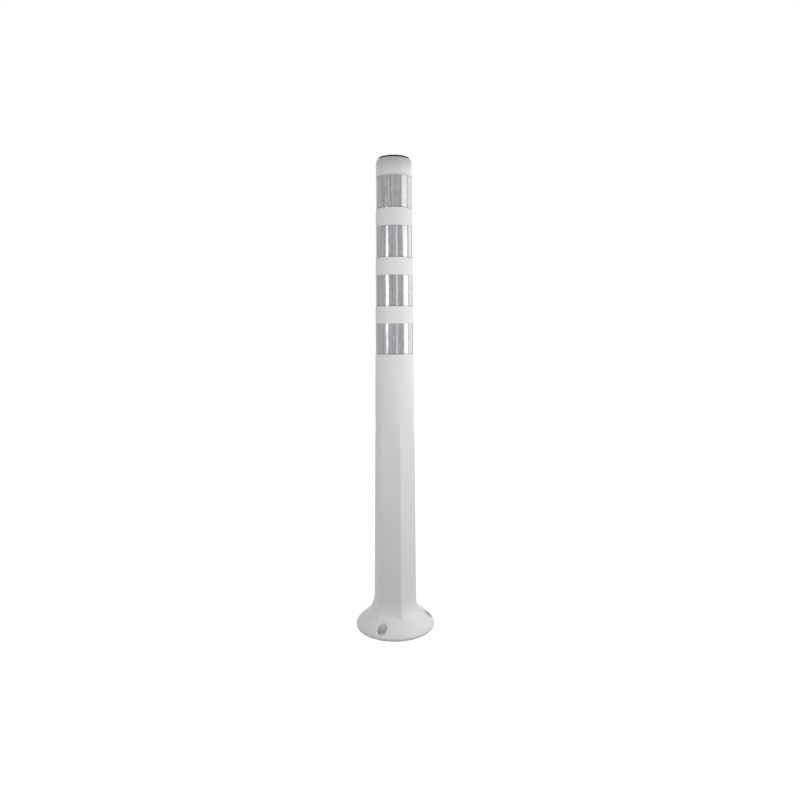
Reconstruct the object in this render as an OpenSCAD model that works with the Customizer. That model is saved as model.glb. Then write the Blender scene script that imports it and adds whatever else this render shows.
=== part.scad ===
// Solar delineator post: a flexible white post with a domed foot, four reflective bands and a solar
// lamp that plugs into its top. Millimetres, +Z up, origin at the centre of the foot's underside.
// One anchor pocket faces -Y, and the lower tube's six flats are turned a little from the pockets.

/* [Overall] */
// Height from the ground to the top of the lamp's rim
overall_h = 1250; // [1100:10:1400]
// Diameter of the round foot
foot_d = 215; // [205:1:230]

/* [Foot] */
// Height of the foot's upright rim
rim_h = 7; // [5:0.5:9]
// Height at which the foot's dome runs under the flare
dome_h = 46; // [42:1:51]
// Radius at which the foot's dome runs under the flare
dome_in_r = 61; // [57:0.5:64]
// Width of the dome's rounded corner over the rim
dome_round_w = 8.5; // [6:0.5:11]
// Height of that rounded corner
dome_round_h = 15; // [11:0.5:18]
// Chamfer on the foot's lower edge
foot_edge = 1.5; // [0.5:0.25:3]
// Height at which the flare has become the straight tube
flare_top_z = 84; // [78:1:96]
// Radius of the concave sweep from the tube down onto the dome
flare_sweep = 80; // [72:1:110]
// Thickness of the dome over the hollow underside
foot_skin = 8; // [6:0.5:10]
// Thickness of each rib under the foot
rib_t = 5; // [3:0.5:7]
// Radius of the open core through the foot
foot_core_r = 44; // [40:0.5:45]
// Width of the ring round the open core
core_ring_w = 7; // [5:0.5:9]
// Height of the tube's inner floor over the dome's upper edge
floor_rise = 4; // [2:0.5:8]

/* [Anchor pockets] */
// Distance of each anchor pocket's centre from the foot's edge
pocket_inset = 17.5; // [16:0.5:21]
// Diameter of each anchor pocket
pocket_d = 25; // [23:0.5:28]
// Height of each pocket's floor
pocket_floor = 12; // [10:0.5:14]
// Wall left round each pocket below the dome
pocket_wall = 6; // [4:0.5:7]
// Outside diameter of the steel bush in each pocket's floor
bush_od = 20; // [18:0.5:22]
// Hole through each bush, for a 12 mm anchor bolt
bush_id = 13.5; // [12.5:0.25:15]

/* [Tube] */
// Radius of the lower tube to its six ridges, where the flare ends
tube_low_r = 59.5; // [57:0.1:61]
// Radius of the tube to its ridges where they start to fade
ridge_end_r = 54.8; // [53:0.1:57]
// Radius of the tube where it has become round
round_r = 51.8; // [50:0.1:53]
// Radius of the round tube at its top
tube_top_r = 46.4; // [45.5:0.1:48]
// Wall thickness of the tube
wall = 5; // [4:0.25:5.5]
// Height up to which the tube is fully six-sided
facet_full_z = 505; // [420:5:530]
// Height at which the tube has become round
facet_top_z = 605; // [560:5:640]
// Bulge of each flat, from 0 for a plane to 1 for part of a circle
facet_bulge = 0.12; // [0.05:0.01:0.3]
// Turn of the tube's flats from the anchor pockets
facet_turn = 8.5; // [0:0.5:15]

/* [Bend] */
// Largest bend of each neck, in degrees
bend_deg = 75; // [45:1:80]
// Gap left between the tube ends on the inside of the largest bend
bend_gap = 2.8; // [2:0.1:5]
// Height of the ring between the two necks
neck_ring_h = 12; // [8:1:20]

/* [Reflective bands] */
// Number of bands
band_count = 4; // [1:1:4]
// Height of each band
band_h = 80; // [60:1:90]
// Height of the collar between two bands
collar_h = 44; // [40:1:50]
// Height of the white lip above the top band
top_lip_h = 2; // [1.5:0.5:4]
// Depth of each band's seat at its upper edge
seat_depth = 0.7; // [0.5:0.05:1]
// Thickness of the reflective film
film_t = 0.3; // [0.2:0.05:0.45]
// Thickness of the adhesive under the film
glue_t = 0.05; // [0.03:0.01:0.1]
// Gap where the two ends of each film meet
film_seam = 1.2; // [0.6:0.1:2]
// Gap between a film's edges and its seat
film_edge_gap = 0.3; // [0.2:0.05:0.6]
// Azimuth of the first band's seam
seam_start = -70; // [-180:5:180]
// Turn from each band's seam to the next band's
seam_step = 97; // [30:1:150]

/* [Lamp socket and fits] */
// Radius of the socket in the top of the tube
socket_r = 41.2; // [40.5:0.1:41.5]
// Room left in the socket under the lamp's plug
socket_room = 22; // [15:1:40]
// Height of the taper from the socket down to the tube's inside
socket_taper = 8; // [4:1:15]
// Clearance between the lamp's plug and the socket
plug_fit = 0.3; // [0.2:0.05:0.5]
// Gap between the lamp and the tube's top face
seat_gap = 0.3; // [0.2:0.05:0.5]
// Clearance between pieces that drop into each other in the lamp
drop_fit = 0.2; // [0.1:0.05:0.3]

/* [Lamp collar and rim] */
// Height of the frosted collar, from the tube to the black rim
lens_h = 42; // [38:1:50]
// Wall of the frosted collar
lens_wall = 3; // [2:0.25:3.25]
// Width of the collar's rounded shoulder
shoulder_w = 3.9; // [3:0.1:5]
// Height of the collar's rounded shoulder
shoulder_h = 12; // [8:0.5:16]
// Size of the rib in the collar that rests on the lamp's chassis
lens_rib = 2; // [1.5:0.25:3]
// Height of the black rim
bezel_h = 5; // [4.5:0.25:7]
// Outer radius of the black rim
bezel_r = 40.5; // [39.5:0.1:41.5]
// Width of the rim's top face
bezel_face = 3.8; // [3:0.1:5]
// Chamfer on the rim's outer edge
bezel_edge = 0.8; // [0.3:0.1:1.2]
// Radius of the hole in the collar's top that the rim plugs into
lens_hole_r = 34; // [32:0.25:35]
// Length of the rim's spigot in that hole
spigot_h = 6; // [5:0.5:8]
// Wall left on both sides of the rim's screws
screw_wall = 0.5; // [0.4:0.1:1]
// Thickness of the sealing ring round the spigot
bezel_cord = 1.3; // [1:0.1:1.5]
// Clearance inside and outside that sealing ring
bezel_seal_fit = 0.05; // [0.03:0.01:0.08]
// Thickness of the rim's floor under the solar panel
bezel_floor = 1.2; // [1:0.1:1.5]
// Radius of the cable opening in the rim's floor
bezel_core_r = 26; // [20:0.5:27]

/* [Solar panel] */
// Thickness of the panel's board
panel_t = 1.2; // [0.8:0.1:1.3]
// Thickness of a cell
cell_t = 0.3; // [0.2:0.05:0.4]
// Width of one cell strip
cell_w = 12; // [10:0.5:13]
// Gap between cell strips
cell_gap = 1; // [0.6:0.1:1.5]
// Number of cell strips
cell_count = 5; // [3:2:5]
// Radius of the area that the cells fill
cell_area_r = 33.5; // [31:0.25:34]
// Thickness of the clear window
window_t = 1.8; // [1.4:0.1:1.9]

/* [Light] */
// Height of the circuit board over the chassis's deck
board_lift = 4; // [3:0.5:6]
// Radius of the circuit board
board_r = 36; // [34:0.5:38]
// Thickness of the circuit board
board_t = 1.6; // [1:0.1:2]
// Number of light-emitting diodes
led_count = 8; // [6:1:10]
// Width of one diode
led_w = 5; // [3.5:0.5:5.5]
// Height of one diode
led_h = 1.6; // [1:0.1:2]
// Radius of the ring of diodes
led_ring_r = 25; // [22:0.5:27]
// Radius of the circle of board screws
board_screw_r = 32; // [31:0.25:32.5]
// Thickness of the reflector cone
reflector_t = 1.5; // [1:0.1:2]
// Radius of the opening in the reflector cone's tip
reflector_tip_r = 4; // [3.5:0.25:6]
// Height of the reflector cone's tip over the circuit board
reflector_lift = 5; // [4.5:0.5:7]
// Height of the cone's upper face over its lower face
reflector_rise = 2.5; // [2:0.25:3.5]
// Radius of the circle that the charge controller, coil and capacitor stand on
parts_ring_r = 11; // [9.5:0.25:14]
// Side of the charge controller
chip_w = 7; // [5:0.5:8]
// Height of the charge controller
chip_h = 1.6; // [1:0.1:2.5]
// Diameter of the coil
coil_d = 7; // [5:0.5:8]
// Height of the coil
coil_h = 3; // [2:0.5:4]
// Diameter of the capacitor
cap_d = 6; // [4:0.5:8]
// Height of the capacitor
cap_h = 4; // [3:0.5:4.5]

/* [Lamp chassis] */
// Depth of the lamp's plug in the tube
plug_h = 78; // [76:1:90]
// Wall of the chassis
chassis_wall = 2.5; // [2:0.1:3]
// Thickness of the chassis's deck and flange
deck_t = 3; // [2:0.25:4]
// Thickness of the sealing ring's cord
seal_cord = 1.8; // [1.5:0.1:2]
// Clearance between the sealing ring and the socket
seal_fit = 0.1; // [0.05:0.05:0.2]
// Distance from the tube's top to the sealing ring
seal_drop = 9; // [7:0.5:14]
// Thickness of the bottom cover
cover_t = 3; // [2.5:0.25:4]
// Thickness of the cover's gasket
gasket_t = 1; // [0.5:0.1:1.5]
// Height of the bosses for the cover's screws
cover_boss_h = 14; // [9:0.5:18]
// Radius of the circle of cover screws
cover_screw_r = 34.5; // [33.5:0.25:34.75]

/* [Screws] */
// Diameter of the small screws' shanks
screw_d = 2.6; // [2:0.1:3]
// Diameter of their heads
screw_head_d = 5; // [4.5:0.1:5.4]
// Height of their heads
screw_head_h = 1.8; // [1.4:0.1:2.2]
// Length of their shanks
screw_len = 6; // [5:0.5:7]
// Clearance of their through holes, on the diameter
screw_clear = 0.4; // [0.2:0.1:0.6]
// Radius of the bosses that they screw into
screw_boss_r = 4.2; // [4:0.1:4.5]

/* [Battery] */
// Diameter of the cell
battery_d = 18.5; // [16:0.1:19]
// Length of the cell
battery_len = 65; // [60:0.5:66]
// Distance of the cell from the lamp's axis
battery_off = 14; // [13:0.5:16]
// Distance from the tube's top down to the top of the cell
battery_drop = 5; // [4:0.5:7]
// Height of the cell's raised pole
pole_h = 1.2; // [0.8:0.1:1.6]
// Wall of the battery's holder
holder_wall = 2; // [1.5:0.1:2.5]
// Clearance between the cell and its holder
holder_fit = 0.25; // [0.15:0.05:0.4]
// Width of the window in the holder's side
holder_window_w = 12; // [8:0.5:15]
// Height of the closed end of the holder above and below that window
holder_end = 12; // [8:0.5:18]
// Thickness of the contact plates
contact_t = 0.5; // [0.3:0.1:0.8]
// Width of each contact's tab
tab_w = 4; // [3:0.5:5]
// How far each tab stands out of the holder
tab_out = 4; // [3:0.25:5]
// Gap between a tab and the slot it passes through
tab_gap = 1; // [0.5:0.1:1.5]

/* [Switch] */
// Distance of the switch from the lamp's axis
switch_off = 16; // [15:0.5:18]
// Diameter of the switch's barrel
barrel_d = 12; // [12:0.25:14]
// Length of the barrel above the cover
barrel_h = 15; // [13:0.5:20]
// Diameter of the switch's flange
flange_d = 17; // [15:0.5:18]
// Thickness of the switch's flange
flange_t = 2; // [1.5:0.25:3]
// Diameter of the power button
button_d = 8; // [6:0.25:8.5]
// Running clearance between the button and its bore, on the radius
button_fit = 0.05; // [0.02:0.01:0.1]
// How far the button stands out of the flange
button_proud = 3.5; // [2.5:0.25:5]
// Travel of the button
button_travel = 1.5; // [1:0.1:2]
// Chamfer on the button's edge
button_edge = 0.6; // [0.3:0.1:1]
// Length of the spring when it is pressed flat
spring_block = 2.5; // [1.5:0.25:3.5]
// Thickness of the spring's wire
spring_wire = 0.8; // [0.5:0.1:1]
// Length of the button's stem inside the switch
button_stem = 7; // [5:0.5:8]

/* [Leads] */
// Diameter of the insulated leads
lead_d = 1.8; // [1.2:0.1:2]
// Distance between the two leads of a pair
lead_pitch = 3; // [2.5:0.25:4]
// Radius of the ends of the slot that the leads pass through
slot_r = 4.5; // [4:0.25:5.5]
// Distance of that slot's middle line from the lamp's axis
slot_y = 3; // [2:0.25:4]

/* [Hidden] */
$fn = 96;
eps = 0.5;
sides = 6;
half_side = 180 / sides;
front = -90;
foot_r = foot_d / 2;
pocket_count = 3;
pocket_ring_r = foot_r - pocket_inset;
rib_count = 12;
core_top_z = dome_h + floor_rise;
flare_root_z = dome_h / 2;
tube_top_z = overall_h - bezel_h - lens_h;
neck_h = 2 * tube_low_r * tan(bend_deg / 2) + bend_gap;
neck_lower_top = flare_top_z + neck_h;
neck_upper_bottom = neck_lower_top + neck_ring_h;
neck_upper_top = neck_upper_bottom + neck_h;
ring_points = 48;
flare_rings = 7;
fade_rings = 8;
band_pitch = band_h + collar_h;
first_band_top = tube_top_z - top_lip_h;
last_band_bottom = first_band_top - (band_count - 1) * band_pitch - band_h;
overlap = 0.3;

// Heights in the lamp, all counted from the tube's top face
lamp_z = tube_top_z + seat_gap;
lens_top_z = tube_top_z + lens_h;
deck_top_z = lamp_z + deck_t;
plug_r = socket_r - plug_fit;
chassis_in_r = plug_r - chassis_wall;
plug_bottom_z = tube_top_z - plug_h;
board_z = deck_top_z + board_lift;
board_top_z = board_z + board_t;
lens_in_r = tube_top_r - lens_wall;
spigot_r = lens_hole_r - drop_fit;
spigot_bottom_z = lens_top_z - spigot_h;
spigot_mid_z = lens_top_z - spigot_h / 2;
groove_r = lens_hole_r - bezel_cord - 2 * bezel_seal_fit;
bezel_screw_r = groove_r - screw_wall - screw_d / 2;
spigot_in_r = bezel_screw_r - screw_d / 2 - screw_wall;
bezel_screw_len = screw_len - 1;
screw_hole_d = screw_d + screw_clear;
panel_z = lens_top_z + bezel_floor;
cell_z = panel_z + panel_t;
window_z = cell_z + cell_t;
panel_r = bezel_r - bezel_face;
reflector_flange_r = spigot_r - drop_fit;
reflector_cone_r = bezel_screw_r - screw_head_d / 2 - drop_fit;
cover_top_z = plug_bottom_z - gasket_t;
cover_bottom_z = cover_top_z - cover_t;
battery_top_z = tube_top_z - battery_drop;
battery_bottom_z = battery_top_z - battery_len;
holder_in_r = battery_d / 2 + holder_fit;
holder_out_r = holder_in_r + holder_wall;
deck_bottom_z = lamp_z;
barrel_top_z = cover_top_z + barrel_h;
button_bore_r = button_d / 2 + button_fit;
button_bottom_z = cover_bottom_z - flange_t - button_proud;
button_top_z = cover_bottom_z - flange_t + button_stem;
spring_top_z = button_top_z + button_travel + spring_block;
tab_reach = holder_out_r + tab_out;
lead_r = lead_d / 2;

// Outline of the moulding: radius to the ridges, and how far each side bulges, at a height
function sweep_in(z) = z >= flare_top_z ? 0 : flare_sweep - sqrt(pow(flare_sweep, 2) - pow(flare_top_z - z, 2));
function ramp(t) = t <= 0 ? 0 : t >= 1 ? 1 : t * t * (3 - 2 * t);
function roundness(z) = ramp((z - facet_full_z) / (facet_top_z - facet_full_z));
function sided_r(z) = tube_low_r + (ridge_end_r - tube_low_r) * (z - flare_top_z) / (facet_full_z - flare_top_z);
function turned_r(z) = round_r + (tube_top_r - round_r) * (z - facet_top_z) / (tube_top_z - facet_top_z);
function ridge_r(z) = sided_r(z) * (1 - roundness(z)) + turned_r(z) * roundness(z) + sweep_in(z);
function bulge(z) = facet_bulge + (1 - facet_bulge) * roundness(z);

// Radius of one side at the angle a from its middle: an arc through both ridges, nearly flat for a small b
function side_r(r, b, a) =
    let (mid = r * (cos(half_side) + (1 - cos(half_side)) * b),
         back = (r * r - mid * mid) / (2 * mid - 2 * r * cos(half_side)))
    sqrt(pow(mid + back, 2) - pow(back * sin(a), 2)) - back * cos(a);

// The wall is as thick at a flat as at a round stretch, so the inner ridges lie further in
function inner_ridge_r(z) = ridge_r(z) - wall * (1 + (1 / cos(half_side) - 1) * (1 - bulge(z)));
function ring(z, r) = [for (i = [0 : ring_points - 1])
    let (turn = i * 360 / ring_points, a = (turn + half_side) % (2 * half_side) - half_side, s = side_r(r, bulge(z), a))
    [s * cos(front + facet_turn + turn), s * sin(front + facet_turn + turn), z]];

module skin(rings) {
    n = len(rings[0]);
    last = len(rings) - 1;
    polyhedron(
        points = [for (r = rings) each r],
        faces = concat(
            [[for (i = [0 : n - 1]) i]],
            [[for (i = [n - 1 : -1 : 0]) last * n + i]],
            [for (k = [0 : last - 1], i = [0 : n - 1]) [k * n + i, (k + 1) * n + i, k * n + (i + 1) % n]],
            [for (k = [0 : last - 1], i = [0 : n - 1])
                [(k + 1) * n + i, (k + 1) * n + (i + 1) % n, k * n + (i + 1) % n]]));
}

function steps(a, b, count) = [for (i = [0 : count]) a + (b - a) * i / count];

// Hollow stretch of the moulding through the heights in zs: one closed skin, outside and inside
module tube_piece(zs) {
    n = ring_points;
    last = len(zs) - 1;
    inner = n * len(zs);
    polyhedron(
        points = concat([for (z = zs) each ring(z, ridge_r(z))], [for (z = zs) each ring(z, inner_ridge_r(z))]),
        faces = concat(
            [for (k = [0 : last - 1], i = [0 : n - 1]) each
                let (a = k * n + i, b = k * n + (i + 1) % n, c = a + n, d = b + n)
                [[a, c, b], [c, d, b], [inner + a, inner + b, inner + c], [inner + c, inner + b, inner + d]]],
            [for (i = [0 : n - 1]) each
                let (j = (i + 1) % n, a = i, b = j, c = inner + i, d = inner + j, up = last * n)
                [[a, b, c], [b, d, c], [up + a, up + c, up + b], [up + b, up + c, up + d]]]));
}

// Curve of the foot's dome: from the rim's top edge, over a rounded corner, to the flare
function dome_curve() =
    let (a = [foot_r, rim_h], b = [foot_r - dome_round_w, rim_h + dome_round_h], c = [dome_in_r, dome_h])
    [for (t = steps(0, 1, 12)) a * pow(1 - t, 2) + b * 2 * t * (1 - t) + c * pow(t, 2)];

module at_pockets() {
    for (i = [0 : pocket_count - 1])
        rotate([0, 0, front + i * 360 / pocket_count])
            translate([pocket_ring_r, 0, 0]) children();
}

module foot_hollow() {
    difference() {
        rotate_extrude()
            polygon([[foot_core_r + core_ring_w, -eps], [foot_r - foot_skin - 1, -eps],
                     [foot_r - foot_skin - 1, rim_h], [dome_in_r, dome_h - foot_skin],
                     [foot_core_r + core_ring_w, dome_h - foot_skin]]);
        for (i = [0 : rib_count - 1])
            rotate([0, 0, front + (i + 0.5) * 360 / rib_count])
                translate([0, -rib_t / 2, -1]) cube([foot_r, rib_t, dome_h]);
        at_pockets() translate([0, 0, -1]) cylinder(r = pocket_d / 2 + pocket_wall, h = dome_h);
    }
}

module foot() {
    color("whitesmoke")
        difference() {
            union() {
                rotate_extrude()
                    polygon(concat([[foot_core_r - 1, 0], [foot_r - foot_edge, 0], [foot_r, foot_edge]],
                                   dome_curve(), [[foot_core_r - 1, dome_h]]));
                skin([for (z = steps(flare_root_z, flare_top_z, flare_rings)) ring(z, ridge_r(z))]);
            }
            foot_hollow();
            translate([0, 0, -eps]) cylinder(r = foot_core_r, h = core_top_z + eps);
            skin([for (z = [core_top_z - eps, (core_top_z + flare_top_z) / 2, flare_top_z + eps])
                ring(z, inner_ridge_r(z))]);
            at_pockets() {
                translate([0, 0, pocket_floor]) cylinder(d = pocket_d, h = dome_h);
                translate([0, 0, -eps]) cylinder(d = bush_od, h = pocket_floor + 2 * eps);
            }
        }
}

module anchor_bushes() {
    color("silver")
        at_pockets()
            difference() {
                cylinder(d = bush_od, h = pocket_floor);
                translate([0, 0, -eps]) cylinder(d = bush_id, h = pocket_floor + 2 * eps);
            }
}

module neck_lower() {
    color("whitesmoke") tube_piece([flare_top_z, neck_lower_top]);
}

module neck_ring() {
    color("whitesmoke") tube_piece([neck_lower_top, neck_upper_bottom]);
}

module neck_upper() {
    color("whitesmoke") tube_piece([neck_upper_bottom, neck_upper_top]);
}

function band_top(i) = first_band_top - i * band_pitch;
function seat_r(i) = ridge_r(band_top(i)) - seat_depth;

// Outline of the tube above the lowest band's lower edge: tapered, with a straight seat for each band
function round_outline() = concat(
    [[seat_r(band_count - 1), last_band_bottom - eps]],
    [for (i = [band_count - 1 : -1 : 0]) each [
        if (i < band_count - 1) [ridge_r(band_top(i) - band_h), band_top(i) - band_h],
        if (i < band_count - 1) [seat_r(i), band_top(i) - band_h],
        [seat_r(i), band_top(i)],
        [ridge_r(band_top(i)), band_top(i)]]],
    [[tube_top_r, tube_top_z]]);

module post_tube() {
    socket_z = plug_bottom_z - socket_room;
    color("whitesmoke") {
        tube_piece(concat([neck_upper_top], steps(facet_full_z, facet_top_z, fade_rings), [last_band_bottom]));
        rotate_extrude()
            polygon(concat(round_outline(),
                           [[socket_r, tube_top_z], [socket_r, socket_z],
                            [ridge_r(socket_z) - wall, socket_z - socket_taper],
                            [inner_ridge_r(last_band_bottom) - overlap, last_band_bottom - eps]]));
    }
}

module band(i) {
    r = seat_r(i) + glue_t;
    color("lightslategray")
        translate([0, 0, band_top(i) - band_h + film_edge_gap])
            difference() {
                cylinder(r = r + film_t, h = band_h - 2 * film_edge_gap);
                translate([0, 0, -eps]) cylinder(r = r, h = band_h + 2 * eps);
                rotate([0, 0, seam_start + i * seam_step])
                    translate([0, -film_seam / 2, -eps]) cube([2 * r, film_seam, band_h + 2 * eps]);
            }
}

module band_1() { band(0); }
module band_2() { band(1); }
module band_3() { band(2); }
module band_4() { band(3); }

// Quarter of an ellipse from straight up at [r, z] to level at [r - w, z + h]
function shoulder(r, z, w, h) = [for (a = steps(0, 90, 10)) [r - w + w * cos(a), z + h * sin(a)]];

module lens_collar() {
    rib_top = deck_top_z + lens_rib;
    rib_r = lens_in_r - lens_rib;
    color("gainsboro")
        rotate_extrude()
            polygon(concat(
                [[tube_top_r, lamp_z]],
                shoulder(tube_top_r, lens_top_z - shoulder_h, shoulder_w, shoulder_h),
                [[lens_hole_r, lens_top_z], [lens_hole_r, lens_top_z - lens_wall]],
                [[lens_in_r - shoulder_w, lens_top_z - lens_wall], [lens_in_r, lens_top_z - lens_wall - shoulder_h],
                 [lens_in_r, rib_top], [rib_r, rib_top], [rib_r, deck_top_z],
                 [lens_in_r, deck_top_z], [lens_in_r, lamp_z]]));
}

module bezel_ring() {
    groove_half = bezel_cord / 2 + drop_fit;
    color("#151515")
        difference() {
            rotate_extrude()
                polygon([[spigot_r, spigot_bottom_z], [spigot_r, spigot_mid_z - groove_half],
                         [groove_r, spigot_mid_z - groove_half], [groove_r, spigot_mid_z + groove_half],
                         [spigot_r, spigot_mid_z + groove_half], [spigot_r, lens_top_z],
                         [bezel_r, lens_top_z], [bezel_r, overall_h - bezel_edge], [bezel_r - bezel_edge, overall_h],
                         [panel_r, overall_h], [panel_r, panel_z], [bezel_core_r, panel_z],
                         [bezel_core_r, lens_top_z], [spigot_in_r, lens_top_z],
                         [spigot_in_r, spigot_bottom_z]]);
            at_bezel_screws() translate([0, 0, spigot_bottom_z - eps]) cylinder(d = screw_d, h = bezel_screw_len);
        }
}

module bezel_seal() {
    color("#202020")
        rotate_extrude()
            translate([lens_hole_r - bezel_seal_fit - bezel_cord / 2, spigot_mid_z]) circle(d = bezel_cord, $fn = 32);
}

module at_bezel_screws() {
    for (a = [30 : 120 : 270])
        rotate([0, 0, a]) translate([bezel_screw_r, 0, 0]) children();
}

module panel_window() {
    color([0.8, 0.9, 1, 0.4])
        translate([0, 0, window_z]) cylinder(r = panel_r - drop_fit, h = window_t);
}

module solar_cells() {
    pitch = cell_w + cell_gap;
    color("midnightblue")
        for (i = [0 : cell_count - 1])
            translate([0, 0, cell_z])
                intersection() {
                    cylinder(r = cell_area_r, h = cell_t);
                    translate([(i - (cell_count - 1) / 2) * pitch - cell_w / 2, -cell_area_r, -eps])
                        cube([cell_w, 2 * cell_area_r, cell_t + 2 * eps]);
                }
}

module solar_panel() {
    color("#0d2018")
        translate([0, 0, panel_z]) cylinder(r = panel_r - drop_fit, h = panel_t);
}

module screw(len) {
    cylinder(d = screw_d, h = len);
    translate([0, 0, -screw_head_h])
        difference() {
            cylinder(d = screw_head_d, h = screw_head_h);
            translate([0, 0, -eps]) cylinder(d = screw_head_d * 0.45, h = screw_head_h * 0.55 + eps, $fn = 6);
        }
}

module bezel_screws() {
    color("silver")
        at_bezel_screws() translate([0, 0, spigot_bottom_z - reflector_t]) screw(bezel_screw_len);
}

module reflector_cone() {
    tip_z = board_top_z + reflector_lift;
    flange_z = spigot_bottom_z - reflector_t;
    color("white")
        difference() {
            rotate_extrude()
                polygon([[reflector_tip_r, tip_z], [reflector_cone_r, flange_z], [reflector_flange_r, flange_z],
                         [reflector_flange_r, spigot_bottom_z], [reflector_cone_r - drop_fit, spigot_bottom_z],
                         [reflector_tip_r, tip_z + reflector_rise]]);
            at_bezel_screws() translate([0, 0, flange_z - eps]) cylinder(d = screw_hole_d, h = reflector_t + 2 * eps);
        }
}

module at_board_screws() {
    for (a = [90 : 120 : 330]) rotate([0, 0, a]) translate([board_screw_r, 0, 0]) children();
}

module led_board() {
    color("darkgreen")
        difference() {
            translate([0, 0, board_z]) cylinder(r = board_r, h = board_t);
            at_board_screws() translate([0, 0, board_z - eps]) cylinder(d = screw_hole_d, h = board_t + 2 * eps);
        }
}

module leds() {
    color("khaki")
        for (i = [0 : led_count - 1])
            rotate([0, 0, i * 360 / led_count])
                translate([led_ring_r - led_w / 2, -led_w / 2, board_top_z])
                    difference() {
                        cube([led_w, led_w, led_h]);
                        translate([led_w / 2, led_w / 2, led_h - 0.4]) cylinder(d = led_w * 0.7, h = 1, $fn = 32);
                    }
}

// Charge controller, coil and capacitor, standing round the cone's tip
module board_parts() {
    translate([0, 0, board_top_z]) {
        color("#181818") translate([parts_ring_r - chip_w / 2, -chip_w / 2, 0]) cube([chip_w, chip_w, chip_h]);
        color("dimgray") translate([-parts_ring_r, 0, 0]) cylinder(d = coil_d, h = coil_h, $fn = 48);
        color("silver") translate([0, parts_ring_r, 0]) cylinder(d = cap_d, h = cap_h, $fn = 48);
    }
}

module board_screws() {
    color("silver")
        at_board_screws() translate([0, 0, board_top_z]) mirror([0, 0, 1]) screw(screw_len);
}

// Long opening in the deck that the leads pass through
module lead_slot(z, h) {
    hull() {
        translate([slot_r - eps, slot_y, z]) cylinder(r = slot_r, h = h, $fn = 32);
        translate([switch_off + lead_pitch / 2, slot_y, z]) cylinder(r = slot_r, h = h, $fn = 32);
    }
}

module at_cover_screws() {
    for (a = [60 : 120 : 300]) rotate([0, 0, a]) translate([cover_screw_r, 0, 0]) children();
}

module lamp_chassis() {
    seal_z = tube_top_z - seal_drop;
    flange_r = lens_in_r - drop_fit;
    color("lightgray")
        difference() {
            union() {
                difference() {
                    union() {
                        translate([0, 0, plug_bottom_z]) cylinder(r = plug_r, h = lamp_z - plug_bottom_z + eps);
                        translate([0, 0, lamp_z]) cylinder(r = flange_r, h = deck_t);
                    }
                    translate([0, 0, plug_bottom_z - eps])
                        cylinder(r = chassis_in_r, h = lamp_z - plug_bottom_z + eps);
                    rotate_extrude()
                        translate([socket_r - 2 * seal_fit - seal_cord, seal_z - seal_cord / 2 - drop_fit])
                            square([seal_cord + 1, seal_cord + 2 * drop_fit]);
                }
                at_board_screws() translate([0, 0, lamp_z]) cylinder(r = screw_boss_r, h = board_z - lamp_z);
                at_cover_screws() translate([0, 0, plug_bottom_z]) cylinder(r = screw_boss_r, h = cover_boss_h);
            }
            lead_slot(lamp_z - eps, deck_t + 2 * eps);
            at_board_screws() translate([0, 0, board_z - screw_len]) cylinder(d = screw_d, h = screw_len + eps);
            at_cover_screws() translate([0, 0, plug_bottom_z - eps]) cylinder(d = screw_d, h = screw_len + eps);
        }
}

module chassis_seal() {
    color("#202020")
        rotate_extrude()
            translate([socket_r - seal_fit - seal_cord / 2, tube_top_z - seal_drop]) circle(d = seal_cord, $fn = 32);
}

module battery() {
    color("steelblue")
        translate([-battery_off, 0, battery_bottom_z]) {
            cylinder(d = battery_d, h = battery_len - pole_h);
            cylinder(d = battery_d * 0.4, h = battery_len);
        }
}

module battery_holder() {
    bottom = battery_bottom_z - contact_t;
    color("#303030")
        translate([-battery_off, 0, 0])
            difference() {
                translate([0, 0, bottom]) cylinder(r = holder_out_r, h = deck_bottom_z - bottom);
                translate([0, 0, bottom - eps])
                    cylinder(r = holder_in_r, h = battery_top_z + contact_t - bottom + eps);
                translate([-holder_out_r - 1, -holder_window_w / 2, battery_bottom_z + holder_end])
                    cube([holder_out_r, holder_window_w, battery_len - 2 * holder_end]);
                translate([0, -tab_w / 2 - tab_gap, battery_top_z - tab_gap])
                    cube([holder_out_r + 1, tab_w + 2 * tab_gap, deck_bottom_z - battery_top_z + 2 * tab_gap]);
                translate([0, -tab_w / 2 - tab_gap, bottom - eps])
                    cube([holder_out_r + 1, tab_w + 2 * tab_gap, contact_t + tab_gap + eps]);
            }
}

module battery_contacts() {
    color("goldenrod")
        for (z = [battery_top_z, battery_bottom_z - contact_t])
            translate([-battery_off, 0, z]) {
                cylinder(r = battery_d / 2 - 1, h = contact_t);
                translate([0, -tab_w / 2, 0]) cube([tab_reach, tab_w, contact_t]);
            }
}

module battery_cover() {
    color("#303030")
        difference() {
            union() {
                translate([0, 0, cover_bottom_z]) cylinder(r = plug_r - drop_fit, h = cover_t);
                translate([-battery_off, 0, cover_top_z - eps])
                    cylinder(r = battery_d / 2, h = battery_bottom_z - contact_t - cover_top_z + eps);
            }
            translate([switch_off, 0, cover_bottom_z - eps])
                cylinder(r = barrel_d / 2 + drop_fit, h = cover_t + 2 * eps);
            at_cover_screws() translate([0, 0, cover_bottom_z - eps]) cylinder(d = screw_hole_d, h = cover_t + 2 * eps);
        }
}

module cover_gasket() {
    color("#202020")
        difference() {
            translate([0, 0, cover_top_z]) cylinder(r = plug_r - drop_fit, h = gasket_t);
            translate([0, 0, cover_top_z - eps]) cylinder(r = cover_screw_r - screw_boss_r, h = gasket_t + 2 * eps);
            at_cover_screws() translate([0, 0, cover_top_z - eps]) cylinder(d = screw_hole_d, h = gasket_t + 2 * eps);
        }
}

module cover_screws() {
    color("silver")
        at_cover_screws() translate([0, 0, cover_bottom_z]) screw(cover_t + gasket_t + screw_len - 1);
}

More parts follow.
